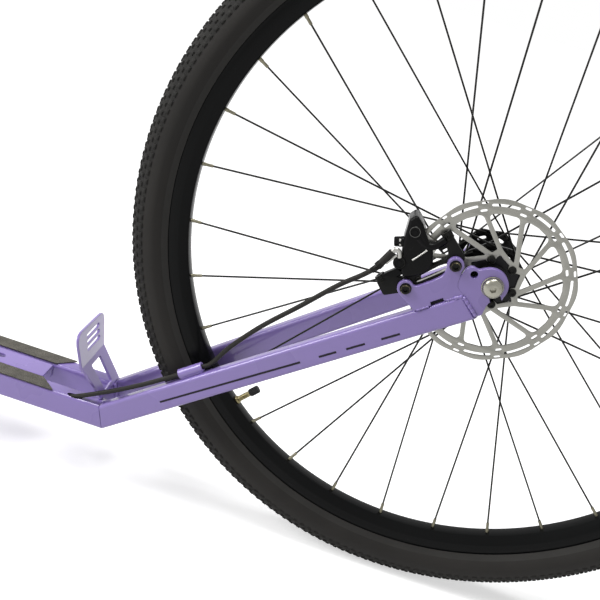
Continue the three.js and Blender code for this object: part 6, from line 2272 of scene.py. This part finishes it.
        ring = in_mm([(11.4, 138), (15.2, 138), (16, 138.8), (16, 151.2), (15.2, 152), (11.4, 152)])
        parts = [self.along_bar(turned("clamp", ring, 40, closed=True), side)]
        parts.append(rod("neck", at(0.145, 0.012), at(0.145, 0.034), 0.0072, 0.0066, 28, 0.001))
        cylinder = rod("cylinder", at(0.138, 0.0265), at(0.2, 0.0265), 0.0086, 0.008, 36, 0.0012)
        parts.append(cylinder)
        parts.append(rod("cap", at(0.1972, 0.0265), at(0.202, 0.0265), 0.0056, sides=6,
                         edge=0.0006))
        tank = skinned("tank", [round_ring(at(0.166, 0.0262, rise), inward, ahead, 0.0195 * s, 0.008
                                           * s, 32) for rise, s in ((0.0015, 0.96), (0.0086, 1.0),
                (0.01, 0.96))])
        parts.append(tank)
        pivot = at(0.13, 0.034)
        for sign in (-1, 1):
            low, high = sorted((sign * 0.0053, sign * 0.0093))
            outline = rounded([(-0.0075, -0.0075, 0.006), (0.0155, -0.0075, 0.002), (0.0155, 0.0075,
                    0.002), (-0.0075, 0.0075, 0.006)], 6)
            out = inward.cross(ahead)
            facing = 1 if out.dot(up) > 0 else -1
            base = pivot + up * (low if facing > 0 else high)
            parts.append(sheet_plate("lug", outline, base, inward, ahead, 0.004, bevel=0.6 * MM))
        for part in parts:
            SHOP.dress(part, "cockpit_black")
        room = rod("cutter", pivot - up * 0.0053, pivot + up * 0.0053, 0.0086, sides=32)
        bore = rod("cutter", at(0.1, 0), at(0.17, 0), 0.0114, sides=40)
        whole = carved(joined("whole", parts), [room, bore])
        pin = SHOP.dress(rod("pin", pivot - up * 0.0093, pivot + up * 0.0093, 0.003, sides=24,
                             edge=0.0004), "bolt_steel")
        self.finish(joined(f"{side.word}_lever_body_casting", [whole, pin]),
                    f"{side.word}_lever_body")

    def lever(self, side: Side) -> None:
        """A brake lever: a curved blade with a boss at its pivot and a round end."""
        tip, inward, ahead, up = self.grip_axes(side)
        pivot = tip + inward * 0.13 + ahead * 0.034
        out = inward.cross(ahead)
        corners = [(0, -5.5, 3), (-51, 6.3, 40), (-99, 11.6, 8), (-105, 13.5, 3), (-107.3, 17.5, 4),
                   (-103, 22.5, 4), (-97, 21.0, 5), (-51, 17.3, 40), (0, 5.5, 3)]
        outline = rounded(in_mm(corners), 6)
        blade = sheet_plate("blade", outline, pivot - out * 0.005, inward, ahead, 0.01, bevel=3.0
                            * MM)
        boss = rod("boss", pivot - up * 0.005, pivot + up * 0.005, 0.0075, sides=36, edge=0.0008)
        parts = [SHOP.dress(part, "cockpit_black") for part in (blade, boss)]
        whole = joined(f"{side.word}_lever_blade", parts)
        carved(whole, [rod("cutter", pivot - up * 0.02, pivot + up * 0.02, 0.0031, sides=24)])
        self.finish(whole, f"{side.word}_lever", body=f"{side.word}_lever")


# ---------------------------------------------------------------- hoses


REAR_HOSE_ROUTE: tuple[Place, ...] = (
    (0.5434, -0.0575, 0.3438), (0.5404, -0.057, 0.3396), (0.533, -0.0555, 0.331),
    (0.5156, -0.053, 0.3138), (0.4857, -0.0465, 0.2776), (0.4543, -0.04, 0.2405),
    (0.4305, -0.037, 0.207), (0.4164, -0.0357, 0.1821), (0.4101, -0.0357, 0.1771),
    (0.3893, -0.0357, 0.1606), (0.383, -0.0357, 0.1556), (0.358, -0.0356, 0.1375),
    (0.332, -0.0355, 0.1205), (0.308, -0.035, 0.1065), (0.288, -0.033, 0.095),
    (0.272, -0.03, 0.0875), (0.25, -0.028, 0.084), (0.2, -0.028, 0.083),
    (0.1, -0.028, 0.083), (0.0, -0.028, 0.083), (-0.08, -0.028, 0.083),
    (-0.112, -0.028, 0.0845), (-0.128, -0.027, 0.091), (-0.138, -0.0245, 0.106),
    (-0.144, -0.022, 0.13), (-0.156, -0.0215, 0.19), (-0.175, -0.0215, 0.28),
    (-0.194, -0.0215, 0.372), (-0.204, -0.0215, 0.412), (-0.224, -0.0215, 0.456),
    (-0.258, -0.0215, 0.508), (-0.3202, -0.0215, 0.5933), (-0.3722, -0.0215, 0.6643),
    (-0.4082, -0.0215, 0.7153), (-0.4242, -0.0218, 0.7383),
)
HOSE_LOOP_ROUTE: tuple[Place, ...] = (
    (-0.4246, -0.0218, 0.7389), (-0.4342, -0.023, 0.7523), (-0.4522, -0.027, 0.7813),
    (-0.4742, -0.031, 0.8173), (-0.4972, -0.033, 0.8563), (-0.5172, -0.026, 0.8923),
    (-0.5312, -0.007, 0.9243), (-0.537, 0.019, 0.955), (-0.532, 0.045, 0.981),
    (-0.523, 0.068, 0.996), (-0.515, 0.0885, 1.0012), (-0.512, 0.1072, 1.0015),
    (-0.511, 0.1129, 1.0016),
)


@dataclass
class BrakeHose:
    """A run of brake hose along its route.

    Attributes:
        node: the CAD node that it stands for.
        body: the body that it rides on.
        route: the places that it goes through.
        bends: whether it is left in place on no body, with its CAD node hidden, instead of hung on
            its body.
        radius: its radius.
    """

    node: str
    body: str
    route: tuple[Place, ...]
    bends: bool = False
    radius: float = 0.0025

    def build(self) -> None:
        """Builds the hose, with crimped sleeves at its two ends."""
        path = smooth_path(self.route, 10)
        hose = SHOP.dress(tube("hose", path, self.radius, 4), "hose_rubber")
        parts = [hose]
        for end, inner in ((path[0], path[2]), (path[-1], path[-3])):
            way = (inner - end).normalized()
            sleeve = rod("sleeve", end, end + way * 0.007, 0.003, sides=20, edge=0.0004)
            parts.append(SHOP.dress(sleeve, "bolt_black"))
        piece = smoothed(joined(f"{self.node}_tube", parts), radians(50))
        if self.bends:
            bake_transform(piece)
            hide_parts(self.node)
            LOG.info("%s bends from frame to %s with %d faces", piece.name, self.body,
                     len(piece.data.polygons))
        else:
            mounted(piece, self.body, "hose_rubber", self.node)


# ---------------------------------------------------------------- studio


@dataclass(frozen=True)
class Lamp:
    """A large soft lamp.

    Attributes:
        name: its name.
        place: where it hangs.
        aim: where it points.
        size: its two sides.
        power: its strength in watts.
    """

    name: str
    place: Place
    aim: Place
    size: Flat
    power: float

    def hang(self) -> None:
        """Hangs the lamp."""
        data = bpy.data.lights.new(self.name, "AREA")
        data.shape = "RECTANGLE"
        data.size, data.size_y = self.size
        data.energy = self.power
        lamp = bpy.data.objects.new(self.name, data)
        bpy.context.scene.collection.objects.link(lamp)
        lamp.location = self.place
        way = Vector(self.aim) - Vector(self.place)
        lamp.rotation_euler = way.to_track_quat("-Z", "Y").to_euler()


@dataclass
class Studio:
    """The camera, the white world, the pale floor and the lamps.

    Attributes:
        camera_place: where the camera stands.
        lens: its focal length in millimetres, on a sensor 36 wide.
        fill: the world's strength as a light.
        floor_grey: the floor's own colour.
        floor_glow: what the floor adds for the eye under the bike and far from it, so that it
            shows white.
    """

    camera_place: Place = (0.49889, -0.87104, 0.59433)
    lens: float = 54.66324
    fill: float = 0.13
    floor_grey: float = 0.8
    floor_glow: Flat = (0.6, 0.97)
    lamps: tuple[Lamp, ...] = (
        Lamp("lamp_above", (0.45, -0.1, 2.6), (0.35, 0.0, 0.3), (2.0, 0.7), 56),
        Lamp("lamp_left", (-1.5, -0.75, 1.5), (0.35, 0.0, 0.25), (1.0, 1.0), 40),
        Lamp("lamp_front", (-1.2, -2.2, 1.0), (0.35, 0.0, 0.3), (1.5, 1.5), 3),
    )

    def build(self) -> None:
        """Sets up the whole studio."""
        bpy.context.scene.view_settings.view_transform = "Standard"
        self.camera()
        self.world()
        self.floor()
        for lamp in self.lamps:
            lamp.hang()
        LOG.info("studio with %d lamps", len(self.lamps))

    def camera(self) -> None:
        """The camera at the photograph's angle."""
        right = Vector((0.949209, 0.125839, 0.288385))
        down = Vector((0.314189, -0.329727, -0.890262))
        forward = Vector((-0.016942, 0.935652, -0.352517))
        data = bpy.data.cameras.new("camera")
        data.lens = self.lens
        data.sensor_width = 36
        data.clip_start = 0.05
        data.clip_end = 60
        camera = bpy.data.objects.new("camera", data)
        bpy.context.scene.collection.objects.link(camera)
        turn = Matrix((right, -down, -forward)).transposed().to_4x4()
        camera.matrix_world = Matrix.Translation(self.camera_place) @ turn
        bpy.context.scene.camera = camera

    @staticmethod
    def seen(tree: bpy.types.NodeTree) -> bpy.types.NodeSocket:
        """A mask of what the camera, gloss and glass see, in a node tree."""
        path = node(tree, "LightPath")
        first = node(tree, "Math", {0: path.outputs["Is Camera Ray"],
                                    1: path.outputs["Is Glossy Ray"]}, operation="MAXIMUM")
        return node(tree, "Math", {0: first.outputs[0], 1: path.outputs["Is Transmission Ray"]},
                    operation="MAXIMUM").outputs[0]

    def world(self) -> None:
        """A world that is white to look at and gives a plain soft light."""
        world = bpy.data.worlds.new("studio")
        bpy.context.scene.world = world
        world.use_nodes = True
        tree = world.node_tree
        tree.nodes.clear()
        shades = [node(tree, "Background", {"Color": (1, 1, 1, 1), "Strength": strength}).outputs[0]
                  for strength in (self.fill, 1.0)]
        mix = node(tree, "MixShader", {"Fac": self.seen(tree), 1: shades[0], 2: shades[1]})
        node(tree, "OutputWorld", {"Surface": mix.outputs[0]})

    def floor(self) -> None:
        """A plain pale floor that shows white and keeps the object's shadow."""
        bpy.ops.mesh.primitive_plane_add(size=60, location=(0, 0, 0))
        floor = named("studio_floor")
        material = bpy.data.materials.new("studio_floor")
        material.use_nodes = True
        tree = material.node_tree
        tree.nodes.clear()
        matt = node(tree, "BsdfDiffuse", {"Color": (*[self.floor_grey] * 3, 1)})
        away = node(tree, "VectorMath", {0: node(tree, "TexCoord").outputs["Object"]},
                    operation="LENGTH")
        near_glow, far_glow = self.floor_glow
        rise = node(tree, "MapRange", {"Value": away.outputs["Value"], "From Min": 1.3,
                                       "From Max": 3.2, "To Min": near_glow, "To Max": far_glow})
        share = node(tree, "Math", {0: self.seen(tree), 1: rise.outputs["Result"]},
                     operation="MULTIPLY")
        glow = node(tree, "Emission", {"Strength": share.outputs[0]})
        add = node(tree, "AddShader", {0: matt.outputs[0], 1: glow.outputs[0]})
        node(tree, "OutputMaterial", {"Surface": add.outputs[0]})
        floor.data.materials.append(material)


# ---------------------------------------------------------------- main


def main() -> None:
    """Builds the bike piece by piece."""
    logging.basicConfig(level=logging.INFO, format="%(message)s")
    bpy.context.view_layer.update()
    Studio().build()
    for prefix, axle in (("rear", REAR_AXLE), ("front", FRONT_AXLE)):
        Wheel(prefix, axle).build()
    RearEnd().build()
    Brake("rear", moved(*REAR_AXLE), "frame").build()
    FrameFront().build()
    fork = Fork()
    fork.build()
    Brake("front", fork.to_front, "steering", bolts=True).build()
    Cockpit().build()
    BrakeHose("rear_hose", "frame", REAR_HOSE_ROUTE).build()
    BrakeHose("rear_hose_loop", "steering", HOSE_LOOP_ROUTE, bends=True).build()
    bpy.ops.object.select_all(action="DESELECT")


if __name__ == "__main__":
    main()
